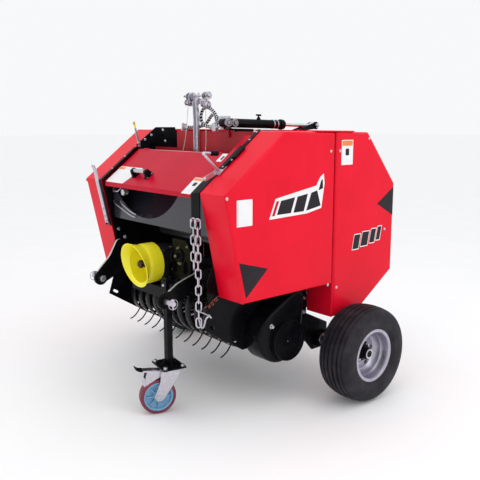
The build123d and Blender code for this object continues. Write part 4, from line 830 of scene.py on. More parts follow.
# %% Lever and pointer
flange_lean = 89.0 / (nose_z - 498.0)
def flange_d(up):
    return (nose_z - up) * flange_lean
lever_x, channel_top, channel_low = -396.0, 907.0, 698.0
bm = bmesh.new()
for a, b in ((-19, -16), (16, 19)):
    plate(bm, [(flange_d(channel_low) - 0.3, channel_low), (flange_d(channel_top) - 0.3, channel_top),
               (flange_d(channel_top) - 10, channel_top), (flange_d(channel_low) - 10, channel_low)],
          lever_x + a, lever_x + b)
plate(bm, [(flange_d(channel_low) - 0.3, channel_low), (flange_d(channel_top) - 0.3, channel_top),
           (flange_d(channel_top) - 2.8, channel_top), (flange_d(channel_low) - 2.8, channel_low)],
      lever_x - 16, lever_x + 16)
piece("lever_channel", bm, "grey", "chassis", "twine_lever", bevel=0.8)
lever_line = [(flange_d(channel_low + 12) - 8, channel_low + 12), (flange_d(channel_top) - 9.5, channel_top),
              (-17, nose_z + 43), (-29, nose_z + 69)]
bm = bmesh.new()
plate(bm, rounded(lever_line + [(d - 5, z - 1) for d, z in reversed(lever_line)], 5), lever_x - 14, lever_x + 14)
lever = piece("lever_bar", bm, "zinc", "chassis", bevel=1.2)
hole = bmesh.new()
turn(hole, at(lever_x, -10, nose_z + 57), (0, -1, 0.35), [(-30, 0), (-30, 4), (50, 4), (50, 0)], 20)
cut(lever, [loose("lever_eye", hole)])
bm = bmesh.new()
for up in (718, 742, 778):
    bolt(bm, at(lever_x, flange_d(up) - 13, up), (0, -1, -0.2), 6.5, 0.7)
piece("lever_bolts", bm, "zinc", "chassis")
bm = bmesh.new()
foot, tip = (203, 1070), (175, 1179)
def along_pointer(t):
    return (foot[0] + (tip[0] - foot[0]) * t, foot[1] + (tip[1] - foot[1]) * t)
finish_order = ["zinc", "yellow", "orange"]
for t0, t1, which in ((0.0, 0.72, 0), (0.721, 0.87, 1), (0.871, 1.0, 2)):
    first = len(bm.faces)
    (d0, z0), (d1, z1) = along_pointer(t0), along_pointer(t1)
    w0, w1 = 5.6 - 1.4 * t0, 5.6 - 1.4 * t1
    plate(bm, [(d0 - w0, z0), (d0 + w0, z0 + 1), (d1 + w1, z1 + 1), (d1 - w1, z1)], -368.8, -365.2)
    bm.faces.ensure_lookup_table()
    for face in bm.faces[first:]:
        face.material_index = which
piece("pointer_blade", bm, finish_order, "chassis", "bale_pointer", bevel=0.5, slot="zinc")
bm = bmesh.new()
plate(bm, rounded([(196, 1062), (208, 1060), (204, 1098), (194, 1100)], 3), -368.8, -364.0)
turn(bm, at(-364.2, 201, 1082), (1, 0, 0), [(0, 0), (0, 5), (2.6, 5), (3.2, 4), (3.2, 0)], 6)
piece("pointer_foot", bm, "zinc", "chassis", bevel=0.5)
print("lever and pointer ready")

# %% Brake crank on the right-hand strip
def hood_z(back):
    return nose_z + back * tan(slope)
crank_x, strip_top = 379.0, 4.3
arm_place, arm_tip = (86, hood_z(86) + strip_top + 8), (24, hood_z(24) + 32)
crank_foot = at(crank_x + 8, *arm_place)
crank_knee, crank_end = at(crank_x, 15, 1063), at(crank_x, 88, 1060)
bm = bmesh.new()
swing = [(arm_tip[0] + 9 * cos(t), arm_tip[1] + 9 * sin(t)) for t in (pi / 2 + pi * k / 10 for k in range(11))]
heel = [(arm_place[0] + 11 * cos(t), arm_place[1] + 11 * sin(t)) for t in (-pi / 2 + pi * k / 10 for k in range(11))]
plate(bm, swing + heel, crank_x - 3, crank_x + 3)
turn(bm, at(crank_x - 7, *arm_place), (1, 0, 0), [(0, 0), (0, 9), (16, 9), (16, 0)], 28)
bolt(bm, at(crank_x + 3, *arm_tip), (1, 0, 0), 7.0, 0.8)
pad = [(78, hood_z(78) + 4.6), (114, hood_z(114) + 4.6), (113, hood_z(114) + 9), (77, hood_z(78) + 9)]
plate(bm, pad, crank_x - 6, crank_x + 21)
plate(bm, rounded([(78, hood_z(78) + 8), (98, hood_z(98) + 8), (94, hood_z(86) + 26), (80, hood_z(86) + 26)], 5),
      crank_x - 11, crank_x - 7)
bolt(bm, at(crank_x + 9, 106, hood_z(106) + 9), lid_normal, 6.0, 0.7)
piece("crank_strap", bm, "zinc", "chassis", "twine_crank", bevel=0.6)
knee_turn = [crank_foot.lerp(crank_knee, t) for t in (0.1, 0.55, 0.86)]
bent_wire("crank_rod", [crank_foot, *knee_turn, crank_knee, crank_knee.lerp(crank_end, 0.14),
                        crank_knee.lerp(crank_end, 0.4), crank_knee.lerp(crank_end, 0.96)], 5.6, "zinc")
bm = bmesh.new()
turn(bm, crank_knee.lerp(crank_end, 0.5), crank_end - crank_knee,
     [(0, 0), (0, 7), (1.5, 9.2), (8, 10), (10, 9), (12, 10), (28, 10.6), (34, 9.4), (35.8, 6), (36, 0)], 28)
piece("crank_grip", bm, "black", "chassis")
print("crank ready")

# %% [markdown]
# A thin rubber seal runs up the edge of the hood on both sides. On the right a thicker stepped pad covers its
# middle, as on the machine, where a person leans on the hood to thread the twine. Flat sheets that follow the
# slope say this better than a round bar would.

# %% Seals and the stepped pad
def on_hood(bm, x0, x1, start, stop, low, high):
    """Flat strip on the hood's slope, between two heights above it."""
    plate(bm, [(start, hood_z(start) + low), (stop, hood_z(stop) + low), (stop, hood_z(stop) + high),
               (start, hood_z(start) + high)], x0, x1)
rail_lo, rail_hi = (1000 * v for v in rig.box("hood_post"))
rail_rear, black_end = rail_hi.y - 1000 * nose_y, 92
bm = bmesh.new()
plate(bm, [(0.2, rail_lo.z), (5.8, rail_lo.z), (5.8, hood_z(6) - 12), (black_end, hood_z(black_end) - 12),
           (black_end, hood_z(black_end) - 4), (0.2, hood_z(0) - 4)], rail_lo.x, rail_hi.x)
piece("hood_rail_front", bm, "black", "chassis", "hood_post", bevel=1.0)
bm = bmesh.new()
on_hood(bm, rail_lo.x, rail_hi.x, black_end, rail_rear, -12, -4)
piece("hood_rail_rear", bm, "lid_red", "chassis", bevel=1.0)
bm = bmesh.new()
for x0, x1, start, stop in ((352, 379, -5, 84), (369, 388.8, 84, 297.5), (-389, -369.2, -5.5, 185.5)):
    on_hood(bm, x0, x1, start, stop, 0.3, 4.3)
piece("hood_seals", bm, "black", "chassis", "hood_strips", bevel=0.8)
bm = bmesh.new()
for x0, x1, start, stop, high in ((367, 399, 98, 152, 11), (369, 403, 152.2, 205, 13), (371, 394, 99, 203, 15)):
    on_hood(bm, x0, x1, start, stop, 4.4, high)
piece("hood_pad", bm, "black", "chassis", bevel=1.5)
bm = bmesh.new()
for x, back, low in ((397, 140, 11), (379, 246, 4.3), (379, 284, 4.3), (-379, 60, 4.3), (-379, 130, 4.3)):
    turn(bm, at(x, back, hood_z(back) + low), lid_normal, [(0, 0), (0, 4.4), (1.6, 3.6), (2.2, 0)], 16)
piece("strip_screws", bm, "zinc", "chassis")
bm = bmesh.new()
for x, back, up in ((-367.9, 272, 1116), (-367.9, 338, 1140), (-367.9, 351, 1086), (-367.9, 236, 1096)):
    bolt(bm, at(x - 0.1, back, up), (1, 0, 0), 6.5, 0.6)
piece("stop_plate_bolts", bm, "zinc", "chassis")
print("strip trim ready")

# %% [markdown]
# ## Front panel
# The glossy panel closes the twine box below the lid. A latch, a knob and two bent spring rods sit in its
# left corner; the rods keep the twine from slack.

# %% Latch, knob and spring rods
panel_d = 60.0
bm = bmesh.new()
turn(bm, at(-249, panel_d - 0.2, 866), (0, -1, 0), [(0, 0), (0, 11), (2, 11.6), (4, 11), (6, 7), (14, 7), (15, 15),
                                               (22, 16), (26, 14), (27.5, 9), (28, 0)], 32)
piece("panel_knob", bm, "zinc", "chassis")
bent_wire("panel_latch", [at(-350, 50, 884), at(-346, 42, 868), at(-338, 38, 862), at(-318, 38, 866),
                          at(-300, 38, 864), at(-292, 42, 872), at(-286, 52, 884)], 3.4, "zinc")
for name, path in (("spring_rod_low", [(-362, 52, 818), (-350, 44, 810), (-268, 42, 786), (-196, 44, 762), (-182, 56, 756)]),
                   ("spring_rod_high", [(-296, 52, 822), (-288, 46, 814), (-240, 44, 796), (-190, 46, 776), (-178, 58, 770)])):
    bent_wire(name, [at(*p) for p in path], 2.4, "zinc")
print("panel fittings:", made[-4:])
# %% [markdown]
# ## Drive shaft guard
# The guard is one plastic moulding: a drum, a waist with a crease, and a flared mouth that leans forward at
# the top. It is built from rings like a lathe piece, but the rings near the mouth tilt more and more.

# %% Guard
shaft_z = 585.0
def guard_ring(bm, back, r, tilt, sides=96):
    lean = radians(12.6) * tilt
    ring = []
    for k in range(sides):
        t = 2 * pi * k / sides
        ring.append(bm.verts.new(at(r * cos(t), back - sin(lean) * r * sin(t), shaft_z - 2 * tilt + cos(lean) * r * sin(t))))
    return ring
outside = [(30, 86, 0), (29, 86, 0), (-19, 86, 0), (-24, 85.6, 0), (-33, 83.2, 0), (-37, 82.4, 0), (-39, 82.9, 0.05),
           (-43, 84.6, 0.25), (-50, 88.8, 0.55), (-57, 93.4, 0.8), (-62, 96.6, 0.95), (-64, 98.3, 1), (-65.6, 98.4, 1),
           (-66.4, 97.2, 1)]
inside = [(-66.2, 95.8, 1), (-64.6, 94.8, 1), (-57, 90.2, 0.8), (-50, 85.6, 0.55), (-43, 81.4, 0.25), (-38, 79.4, 0),
          (-24, 82.4, 0), (27, 82.9, 0), (27, 29.7, 0), (30, 29.7, 0)]
bm = bmesh.new()
rings = [guard_ring(bm, *r) for r in outside + inside]
for a, b in zip(rings, rings[1:] + rings[:1]):
    for k in range(len(a)):
        j = (k + 1) % len(a)
        bm.faces.new((a[k], a[j], b[j], b[k]))
piece("guard_moulding", bm, "yellow", "chassis", "shaft_guard", sharp=24)
bm = bmesh.new()
for k in range(4):
    t = pi / 4 + k * pi / 2
    bolt(bm, at(58 * cos(t), 26.9, shaft_z + 58 * sin(t)), (0, -1, 0), 6.0, 0.6)
piece("guard_bolts", bm, "zinc")
print("guard rings:", len(rings))

# %% [markdown]
# The saddle below the guard and the gearbox behind it are dark. The gearbox is a casting: a housing with a
# bolted cover on each side, cooling ribs and a filler plug. The shaft turns in a seal ring.

# %% Gearbox
bm = bmesh.new()
plate(bm, [(38, 526), (69.7, 526), (69.7, 580.5), (149, 580.5), (149, 640), (141, 649), (46, 649), (38, 640)], -66, 66)
piece("gearbox_housing", bm, "cast", "chassis", "gearbox", bevel=5, segments=3)
bm = bmesh.new()
for sign in (-1, 1):
    turn(bm, at(sign * 66, 102, 614), (sign, 0, 0), [(-2, 0), (-2, 33), (5, 33), (7, 31), (7, 20), (9, 18), (9, 0)], 48)
    for k in range(6):
        t = k * pi / 3
        bolt(bm, at(sign * 71, 102 + 27 * cos(t), 614 + 27 * sin(t)), (sign, 0, 0), 3.4, 0.6, washer=False)
turn(bm, at(0, 39, shaft_z), (0, -1, 0), [(-2, 18.2), (-2, 52), (4, 52), (6, 50), (6, 34), (9, 31), (9, 18.2)], 56,
     closed=True)
for x in (-48, -24, 0, 24, 48):
    plate(bm, [(52, 646), (134, 646), (128, 649.8), (58, 649.8)], x - 3, x + 3)
piece("gearbox_covers", bm, "cast", "chassis", bevel=0.6)
bm = bmesh.new()
for k in range(8):
    t = pi / 8 + k * pi / 4
    bolt(bm, at(43 * cos(t), 33, shaft_z + 43 * sin(t)), (0, -1, 0), 5.0, 0.6)
turn(bm, at(36, 96, 649), (0, 0, 1), [(-1, 0), (-1, 9), (0.4, 9), (0.4, 7), (0.9, 7), (0.9, 0)], 6)
piece("gearbox_bolts", bm, "zinc")
bm = bmesh.new()
turn(bm, at(0, 31, shaft_z), (0, -1, 0), [(-3, 17.7), (-3, 25), (1.5, 24), (1.5, 19), (0.5, 17.7)], 40, closed=True)
piece("shaft_seal", bm, "hose")
print("gearbox ready")

# %% [markdown]
# Right of the guard a dark plate stands in front of the cross beam. It holds the drive's tensioner, so a few
# bright bolts show on it, and its corner is cut off where the shield's flange comes down.

# %% Drive bracket
beam_front = 69.7
bm = bmesh.new()
front_plate(bm, rounded([(98, 545), (210, 545), (226, 575), (226, 660), (196, 700), (98, 700)], 12), beam_front, beam_front - 6)
turn(bm, at(148, beam_front - 6, 632), (0, -1, 0), [(-1, 0), (-1, 30), (6, 30), (9, 27), (9, 12), (20, 11), (20, 0)], 44)
for x in (112, 186):
    plate(bm, [(beam_front - 6, 556), (beam_front - 18, 566), (beam_front - 18, 600), (beam_front - 6, 616)], x, x + 5)
piece("drive_bracket", bm, "black", "chassis", bevel=0.8)
bm = bmesh.new()
for x, up, size in ((142, 662, 7.5), (153, 601, 8.5), (104, 568, 7), (204, 676, 5.5)):
    bolt(bm, at(x, beam_front - 6, up), (0, -1, 0), size, 0.9)
bolt(bm, at(148, beam_front - 26, 632), (0, -1, 0), 6.0, 0.8)
for x, up in ((-389, 683), (-296, 652), (-310, 560), (-352, 540)):
    bolt(bm, at(x if x > -380 else -352, beam_front, up), (0, -1, 0), 8.0, 0.8)
piece("bracket_bolts", bm, "steel", "chassis")
print("drive bracket ready")

# %% [markdown]
# The input shaft has six splines and, near its end, the groove in which the coupling's locking pin sits.
# A star-shaped ring is drawn once and stacked along the shaft, smaller at the groove.

# %% Splined shaft
def spline_ring(bm, back, r_out, r_in, place=0.0):
    ring = []
    for k in range(6):
        for edge, r in ((-0.26, r_in), (-0.22, r_out), (0.0, r_out), (0.22, r_out), (0.26, r_in), (0.52, r_in)):
            t = k * pi / 3 + edge + pi / 6
            ring.append(bm.verts.new(at(r * cos(t), back, shaft_z + r * sin(t))))
    return ring
bm = bmesh.new()
stack = [(-41, 14.5, 13.6), (-38.5, 17.2, 14.8), (-26, 17.2, 14.8), (-24.5, 14.8, 14.6), (-19, 14.8, 14.6),
         (-17.5, 17.2, 14.8), (20, 17.2, 14.8), (26, 17.2, 16.9), (58, 17.2, 17.0)]
rings = [spline_ring(bm, *s) for s in stack]
for a, b in zip(rings, rings[1:]):
    for k in range(len(a)):
        j = (k + 1) % len(a)
        bm.faces.new((a[k], a[j], b[j], b[k]))
bm.faces.new(rings[0]), bm.faces.new(list(reversed(rings[-1])))
turn(bm, at(0, -41.2, shaft_z), (0, 1, 0), [(0, 0), (0, 6), (0.4, 6), (3, 3), (3, 0)], 24)
piece("splined_shaft", bm, "oiled", "input_shaft", "input_shaft", bevel=0.4)
print("shaft ready")

# %% [markdown]
# ## Hitch arms
# Each arm is a thick plate cut by flame from sheet, with a round eye welded round the link pin. The pin is
# zinc plated; a linch pin with a spring ring keeps the tractor's link on it.

# %% Arms and link pins
hitch_x, arm_t, pin_place = 255.0, 12.0, (-87, 487)
arm_outline = {
    "left": [(-112, 496), (-104, 520), (-40, 582), (-1, 651), (18, 655), (69.8, 580), (69.8, 524), (-24, 485),
             (-79, 460), (-97, 462)],
    "right": [(-114, 496), (-55, 529), (-32, 545), (8, 560), (57, 574), (69.8, 580), (69.8, 518), (26, 500),
              (-20, 470), (-95, 458)]}
for side, sign in (("left", -1), ("right", 1)):
    bm = bmesh.new()
    plate(bm, rounded(arm_outline[side], 14), sign * (hitch_x - arm_t / 2), sign * (hitch_x + arm_t / 2))
    bmesh.ops.recalc_face_normals(bm, faces=bm.faces)
    turn(bm, at(sign * (hitch_x - arm_t / 2 - 1), *pin_place), (sign, 0, 0),
         [(0, 11.2), (0, 30.5), (1.5, 32), (12.5, 32), (14, 30.5), (14, 18), (19, 18), (19, 11.2)], 56, closed=True)
    eye_ring = mm(36)
    # The plate's edge faces get the bright bare-steel finish only where they face up or sideways, into the light, and
    # stay black where they face down: the bright edge is partly bare cut steel and partly painted highlight.
    for face in bm.faces:
        spot = face.calc_center_median() - at(0, *pin_place)
        bare_edge_in_light = abs(face.normal.x) < 0.5 and hypot(spot.y, spot.z) > eye_ring and len(face.verts) == 4
        face.material_index = 1 if bare_edge_in_light and face.normal.z > -0.2 else 0
    piece(f"hitch_plate_{side}", bm, ["black", "cut_edge"], "chassis", f"hitch_arm_{side}", bevel=1.0)
    bm = bmesh.new()
    inner = sign * (hitch_x - arm_t / 2 - 18)
    turn(bm, at(inner, *pin_place), (sign, 0, 0),
         [(0, 0), (0, 9.5), (1.5, 11), (86, 11), (87, 10), (87, 10), (88, 11), (90.5, 11), (92, 9), (92, 0)], 40)
    turn(bm, at(inner + sign * 2, *pin_place), (sign, 0, 0), [(0, 11), (0, 16.5), (13, 16.5), (14, 15.5), (14, 11)], 6,
         closed=True)
    piece(f"link_pin_{side}", bm, "zinc", "chassis")
    pin_x = sign * (hitch_x + 61)
    bm = bmesh.new()
    rod(bm, at(pin_x, -87, 507), at(pin_x, -87, 466), 3.6, 18, 1)
    turn(bm, at(pin_x, -87, 498), (0, 0, 1), [(0, 3.6), (0, 7), (1, 8), (7, 8), (8, 7), (8, 3.6)], 24, closed=True)
    piece(f"linch_pin_{side}", bm, "zinc", "chassis")
    swing = [at(pin_x + sign * 1.0, -87 + 21 * sin(t), 486 - 21 * cos(t)) for t in (2 * pi * k / 14 for k in range(14))]
    bent_wire(f"linch_ring_{side}", swing, 1.5, "zinc", cyclic=True)
print("hitch pins:", [n for n in made if "linch" in n])

# %% [markdown]
# ## Lifting chain
# The chain hangs from a pin beside the right-hand front post, with its short tail beside it. Real links
# are bent wire with a weld, so each link is a swept stadium, turned a quarter from the last and a little
# out of true, as hanging chain is.

# %% Chain
link_l, link_w, wire = 45.0, 27.0, 6.0
link_step = link_l - 2 * wire - 0.9
chain_top, chain_back = 811.0, -14.0
def link(bm, middle, twist, tilt=0.0, length=link_l, width=link_w, thick=wire, steps=24, sides=10):
    run = (length - width) / 2
    bend_r = (width - thick) / 2
    spots = []
    for k in range(steps):
        t = 2 * pi * k / steps
        spots.append((bend_r * cos(t), (run if sin(t) >= 0 else -run) + bend_r * sin(t), t))
    out_way = Vector((cos(twist), sin(twist), 0))
    up_way = (Vector((0, 0, 1)) + out_way * tilt).normalized()
    rings = []
    for u, v, t in spots:
        centre = middle + out_way * mm(u) + up_way * mm(v)
        radial = (out_way * cos(t) + up_way * sin(t)).normalized()
        depth = out_way.cross(up_way)
        rings.append([bm.verts.new(centre + (radial * cos(a) + depth * sin(a)) * mm(thick / 2))
                      for a in (2 * pi * i / sides for i in range(sides))])
    for a, b in zip(rings, rings[1:] + rings[:1]):
        for k in range(sides):
            j = (k + 1) % sides
            bm.faces.new((a[k], a[j], b[j], b[k]))
random.seed(4)
bm = bmesh.new()
first = chain_top - (link_l / 2 - wire - 4 - 0.9)
strands = {"long": (382.0, 13), "short": (355.0, 6)}
facing_view = camera.rotation_euler.z
for x, count in strands.values():
    for k in range(count):
        link(bm, at(x, chain_back, first - k * link_step), facing_view + pi / 2 * (k % 2) + random.uniform(-0.2, 0.2),
             random.uniform(-0.03, 0.03))
piece("chain_links", bm, "zinc", "chassis", "lift_chain", sharp=60)
bm = bmesh.new()
for x, count in strands.values():
    turn(bm, at(x, 0, chain_top), (0, -1, 0), [(0, 0), (0, 4), (23, 4), (23, 7), (26, 7), (27, 5), (27, 0)], 24)
piece("chain_pins", bm, "zinc", "chassis")
last = first - (strands["long"][1] - 1) * link_step
hook_x, hook_low = strands["long"][0], last - link_l / 2 + wire * 0.5
hook = [(-16, hook_low + 40), (-10, hook_low + 24), (-8, hook_low + 12), (-2, hook_low - 4), (6, hook_low - 6), (14, hook_low + 8),
        (18, hook_low + 24), (26, hook_low + 34), (38, hook_low + 36)]
bent_wire("chain_hook", [at(hook_x, back, up) for back, up in hook], 3.6, "zinc")
bent_wire("hook_latch", [at(hook_x, back, hook_low + up) for back, up in ((-6, 60), (6, 56), (24, 44), (40, 35))], 2.8, "zinc")
bm = bmesh.new()
rod(bm, at(hook_x, 32, hook_low + 42), at(hook_x, 46, hook_low + 27), 4.6, 18, 1)
piece("hook_end", bm, "zinc", "chassis")
print("chain links:", sum(count for x, count in strands.values()))

# %% [markdown]
# A twist of copper-coloured safety wire is left round a bolt on the side plate. It is thin and springy, so
# it is a smooth curve through a few loops.

# %% Safety wire
loops = [(12, 468), (30, 476), (44, 470), (40, 460), (30, 466), (40, 482), (56, 486), (58, 474), (48, 470), (52, 488),
         (66, 496), (80, 492), (70, 482), (60, 490), (76, 504), (92, 506)]
bent_wire("safety_wire", [at(383 + 4 * sin(k * 1.9), d, z) for k, (d, z) in enumerate(loops)], 1.1, "copper")
print("wire points:", len(loops))
# %% [markdown]
# ## Twine guide
# Each strand passes between sprung brake discs on a cross rod. The rod carries pressed discs, a coil spring
# and a wing nut on each side, and a bracket with a ring eye leads the strand in. All are zinc plated.

# %% Guide post and discs
wall_back, wall_top = 294.0, 1139.0
rod_back, rod_up = wall_back - 5, brow_z + 148
post_face = wall_back - 6
bm = bmesh.new()
front_plate(bm, [(-38, 1045), (-8, 1045), (-9, 1190), (-16, 1286), (-24, 1296), (-38, 1296), (-46, 1286), (-40, 1190)],
            wall_back - 0.2, post_face)
for x in (-38, -12):
    front_plate(bm, [(x, 1050), (x + 4, 1050), (x + 2, 1190), (x - 4, 1270), (x - 8, 1270), (x - 2, 1190)],
                post_face, post_face - 7)
guide = piece("guide_post", bm, "zinc", "chassis", "twine_guide", bevel=0.8)
bm = bmesh.new()
for up in (1062, 1112):
    bolt(bm, at(-23, post_face, up), (0, -1, 0), 6.5, 0.7)
clip = rounded([(wall_back - 10, rod_up - 16), (wall_back + 2, rod_up - 16), (wall_back + 2, rod_up + 14),
                (wall_back - 10, rod_up + 14)], 4)
for x in (-47, -11):
    plate(bm, clip, x, x + 2.5)
carrier = [(-106, 1296), (-58, 1301), (-20, 1282), (58, 1268), (74, 1244), (66, 1230), (30, 1236), (-4, 1254), (-50, 1258),
           (-100, 1264)]
front_plate(bm, rounded(carrier, 8), wall_back + 0.2, wall_back + 3.2)
piece("guide_clip", bm, "zinc", bevel=0.4)
disc_profile = [(0, 4.2), (0, 9), (1.2, 11), (0.2, 14), (1.4, 16.6), (2.4, 16.9), (2.6, 16), (1.6, 13.6), (2.4, 11), (1.2, 8.4), (1.2, 4.2)]
bm = bmesh.new()
rod(bm, at(-104, rod_back, rod_up), at(71, rod_back, rod_up), 3.9, 20, 0.8)
for x, way in ((-81.2, -1), (-76.5, 1), (36.4, -1), (41.4, 1), (-57.5, -1), (-50, 1), (64, 1)):
    turn(bm, at(x, rod_back, rod_up), (way, 0, 0), disc_profile, 36, closed=True)
for x, way in ((-104, -1), (71, 1)):
    turn(bm, at(x - way * 9, rod_back, rod_up), (way, 0, 0), [(0, 4), (0, 8), (6, 8), (7.5, 6.5), (7.5, 4)], 6, closed=True)
piece("brake_discs", bm, "zinc", sharp=50)
def coil(name, start, end, r, wire_r, turns, material="zinc", body="chassis"):
    """Coil spring between two scene points, as a bent wire."""
    along, side, other = axes_of(end - start)
    steps = int(turns * 10)
    spots = [start.lerp(end, k / steps) + (side * cos(2 * pi * k / 10) + other * sin(2 * pi * k / 10)) * mm(r)
             for k in range(steps + 1)]
    return bent_wire(name, spots, wire_r, material, body)
coil("brake_spring_left", at(-101, rod_back, rod_up), at(-85, rod_back, rod_up), 7.2, 0.9, 5)
coil("brake_spring_right", at(46, rod_back, rod_up), at(61, rod_back, rod_up), 7.2, 0.9, 5)
for x, tag in ((-83, "left"), (39, "right")):
    eye = [at(x + 7 * sin(t), rod_back - 10 + 3 * cos(t), rod_up - 26 + 7 * cos(t)) for t in (2 * pi * k / 12 for k in range(11))]
    bent_wire(f"guide_eye_{tag}", [at(x, rod_back - 2, rod_up - 4), at(x, rod_back - 8, rod_up - 12)] + eye, 1.4, "zinc")
low_rod, low_up = wall_back - 6, rod_up - 27
bm = bmesh.new()
for x0, x1 in ((-100, -46), (14, 74)):
    rod(bm, at(x0, low_rod, low_up - (8 if x0 > 0 else 0)), at(x1, low_rod, low_up - (14 if x0 > 0 else 0)), 4.2, 18, 0.8)
for x, way, drop, scale in ((-66, -1, 0, 1), (-60, 1, 0, 1), (-97, 1, 0, 0.8), (24, -1, 8, 0.8), (53, -1, 12, 1), (59, 1, 12, 1)):
    turn(bm, at(x, low_rod, low_up - drop), (way, 0, 0), [(u, r * scale) for u, r in disc_profile], 32, closed=True)
for x, up in ((-70, rod_up - 13), (47, rod_up - 21)):
    turn(bm, at(x, wall_back - 14, up), (0, 1, 0), [(0, 0), (0, 7), (3, 8), (8, 8), (10, 6), (16, 6), (16, 0)], 6)
for x, spread in ((-104, 11), (72, 11)):
    plate(bm, rounded([(rod_back - spread, rod_up - 4), (rod_back + spread, rod_up - 4), (rod_back + spread - 2, rod_up + 5),
                       (rod_back - spread + 2, rod_up + 5)], 3), x, x + (4 if x > 0 else -4))
piece("guide_pulleys", bm, "zinc", bevel=0.3)
coil("tension_spring_left", at(-92, low_rod, low_up), at(-70, low_rod, low_up), 8.5, 1.3, 5)
coil("tension_spring_right", at(28, low_rod, low_up - 9), at(49, low_rod, low_up - 11), 8.5, 1.3, 5)
print("guide:", [n for n in made[-9:]])

# %% [markdown]
# ## Hydraulics
# A spiral of hard plastic protects each hose. A spiral has to follow the hose's own line, so its points
# come from the hose curve itself: a copy of the curve without its thickness gives the line's points.

# %% Spiral guards
def line_of(cord):
    """Points along a curve object's own line."""
    bare = cord.data.copy()
    bare.bevel_depth = 0
    ghost = bpy.data.objects.new("ghost", bare)
    mesh = bpy.data.meshes.new_from_object(ghost)
    spots = [v.co.copy() for v in mesh.vertices]
    bpy.data.objects.remove(ghost), bpy.data.meshes.remove(mesh), bpy.data.curves.remove(bare)
    return spots
def spiral(bm, spots, r, pitch, thick, start=0.05, stop=0.95, wide=2.4):
    runs = [0.0]
    for a, b in zip(spots, spots[1:]):
        runs.append(runs[-1] + (b - a).length)
    total, side = runs[-1], None
    rings, k, steps = [], 0, int((stop - start) * runs[-1] / mm(pitch) * 14)
    for i in range(steps + 1):
        s = total * (start + (stop - start) * i / steps)
        while k < len(runs) - 2 and runs[k + 1] < s:
            k += 1
        way = (spots[k + 1] - spots[k]).normalized()
        here = spots[k].lerp(spots[k + 1], (s - runs[k]) / (runs[k + 1] - runs[k]))
        side = way.orthogonal().normalized() if side is None else (side - way * side.dot(way)).normalized()
        t = 2 * pi * i / 14
        out = side * cos(t) + way.cross(side) * sin(t)
        rings.append([bm.verts.new(here + out * mm(r + h) + way * mm(w)) for h, w in
                      ((0, -wide), (thick, -wide), (thick, wide), (0, wide))])
    for a, b in zip(rings, rings[1:]):
        for j in range(4):
            m = (j + 1) % 4
            bm.faces.new((a[j], a[m], b[m], b[j]))
    bm.faces.new(rings[0]), bm.faces.new(list(reversed(rings[-1])))
hose_lines = {cord.name: line_of(cord) for cord in (hose_upper, hose_lower)}
for tag, cord, route, length in (("upper", hose_upper, upper_route, 0.335), ("lower", hose_lower, lower_route, 0.362)):
    bm = bmesh.new()
    spiral(bm, hose_lines[cord.name], hose_d / 2 + 0.05, 16.0, 1.3, 0.06, 0.94, 2.6)
    guard = piece(f"spiral_guard_{tag}", bm, "spiral")
    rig.cord(cord, exit=tuple(at(*route[0])), length=length, diameter=mm(hose_d), far_end="object",
            stiffness="medium", lay="loose", with_pieces=[guard])
print("hose lines:", [round(sum((b - a).length for a, b in zip(s, s[1:])) * 1000) for s in hose_lines.values()], "mm")

# %% [markdown]
# The hoses end in zinc-plated unions. A union is a hexagon nut, a crimped sleeve and a turned body; the
# port block by the cylinder carries two round banjo heads, which is what the camera sees.

# %% Unions and blocks
def union(bm, place, direction, r=8.2):
    """Crimped hose end: sleeve over the rubber, then a hexagon nut."""
    turn(bm, place, direction, [(-24, hose_d / 2), (-24, r), (-22, r + 0.8), (-20, r + 0.2), (-17, r + 0.2), (-15, r + 0.8), (-13, r + 0.2),
                                (-10, r + 0.2), (-8, r + 0.9), (-7, r), (-7, 5)], 28)
    turn(bm, place, direction, [(-8, 5), (-8, r + 1), (-7, r + 2), (-1, r + 2), (0, r + 1), (0, 5)], 6)
bm = bmesh.new()
plate(bm, rounded([(254, 1146), (254, 1202), (293.9, 1202), (293.9, 1146)], 3), port_x, port_x + 22)
piece("port_block", bm, "zinc", "chassis", "hose_ports", bevel=1.2)
bm = bmesh.new()
plate(bm, [(285, 1114), (285, 1146), (293.9, 1146), (293.9, 1114)], port_x + 2, port_x + 20)
piece("port_bracket", bm, "dark_red", "chassis", bevel=1.2)
bm = bmesh.new()
union(bm, at(port_x, 272, upper + 2), (1, 0, 0))
union(bm, at(port_x, 272, lower), (1, 0, 0))
union(bm, at(union_x, 307, upper - 31), (1, 0, 0))
union(bm, at(bulkhead_x, 318, lower - 8), (-1, 0, 0))
piece("hose_unions", bm, "zinc", sharp=40)
bm = bmesh.new()
for back, up in ((268, 1188), (268, 1161)):
    turn(bm, at(port_x + 22, back, up), (1, 0, 0), [(0, 0), (0, 10.5), (1, 11.2), (7, 11.2), (8, 10.4), (8, 6.4), (10, 5.6), (10, 0)], 36)
for up in (1186, 1160):
    turn(bm, at(port_x + 11, 254, up), (0, -1, 0), [(0, 0), (0, 9.6), (2, 10), (6, 10), (7, 8.6), (7, 5.2), (5.5, 4.8), (5.5, 0)], 32)
piece("banjo_heads", bm, "zinc", sharp=40)
bm = bmesh.new()
plate(bm, rounded([(299.2, 1115.2), (299.2, 1173), (316.8, 1173), (316.8, 1115.2)], 3), union_x, union_x + 24)
plate(bm, rounded([(300.2, 1115.2), (300.2, 1171), (327.8, 1171), (327.8, 1115.2)], 3), -156, -150.2)
for x in (union_x + 12, -153):
    bolt(bm, at(x, 307, 1171 if x < 0 else 1173), (0, 0, 1), 5.0, 0.7)
turn(bm, at(-156, 318, lower - 8), (-1, 0, 0), [(0, 0), (0, 10), (5, 10), (6, 9), (6, 6), (16, 6), (17, 5), (17, 0)], 6)
turn(bm, at(union_x + 24, 307, upper - 31), (1, 0, 0), [(0, 0), (0, 9), (5, 9), (6, 8), (6, 5.5), (14, 5.5), (15, 4.5), (15, 0)], 6)
piece("bulkheads", bm, "zinc", bevel=0.5)
print("unions ready")

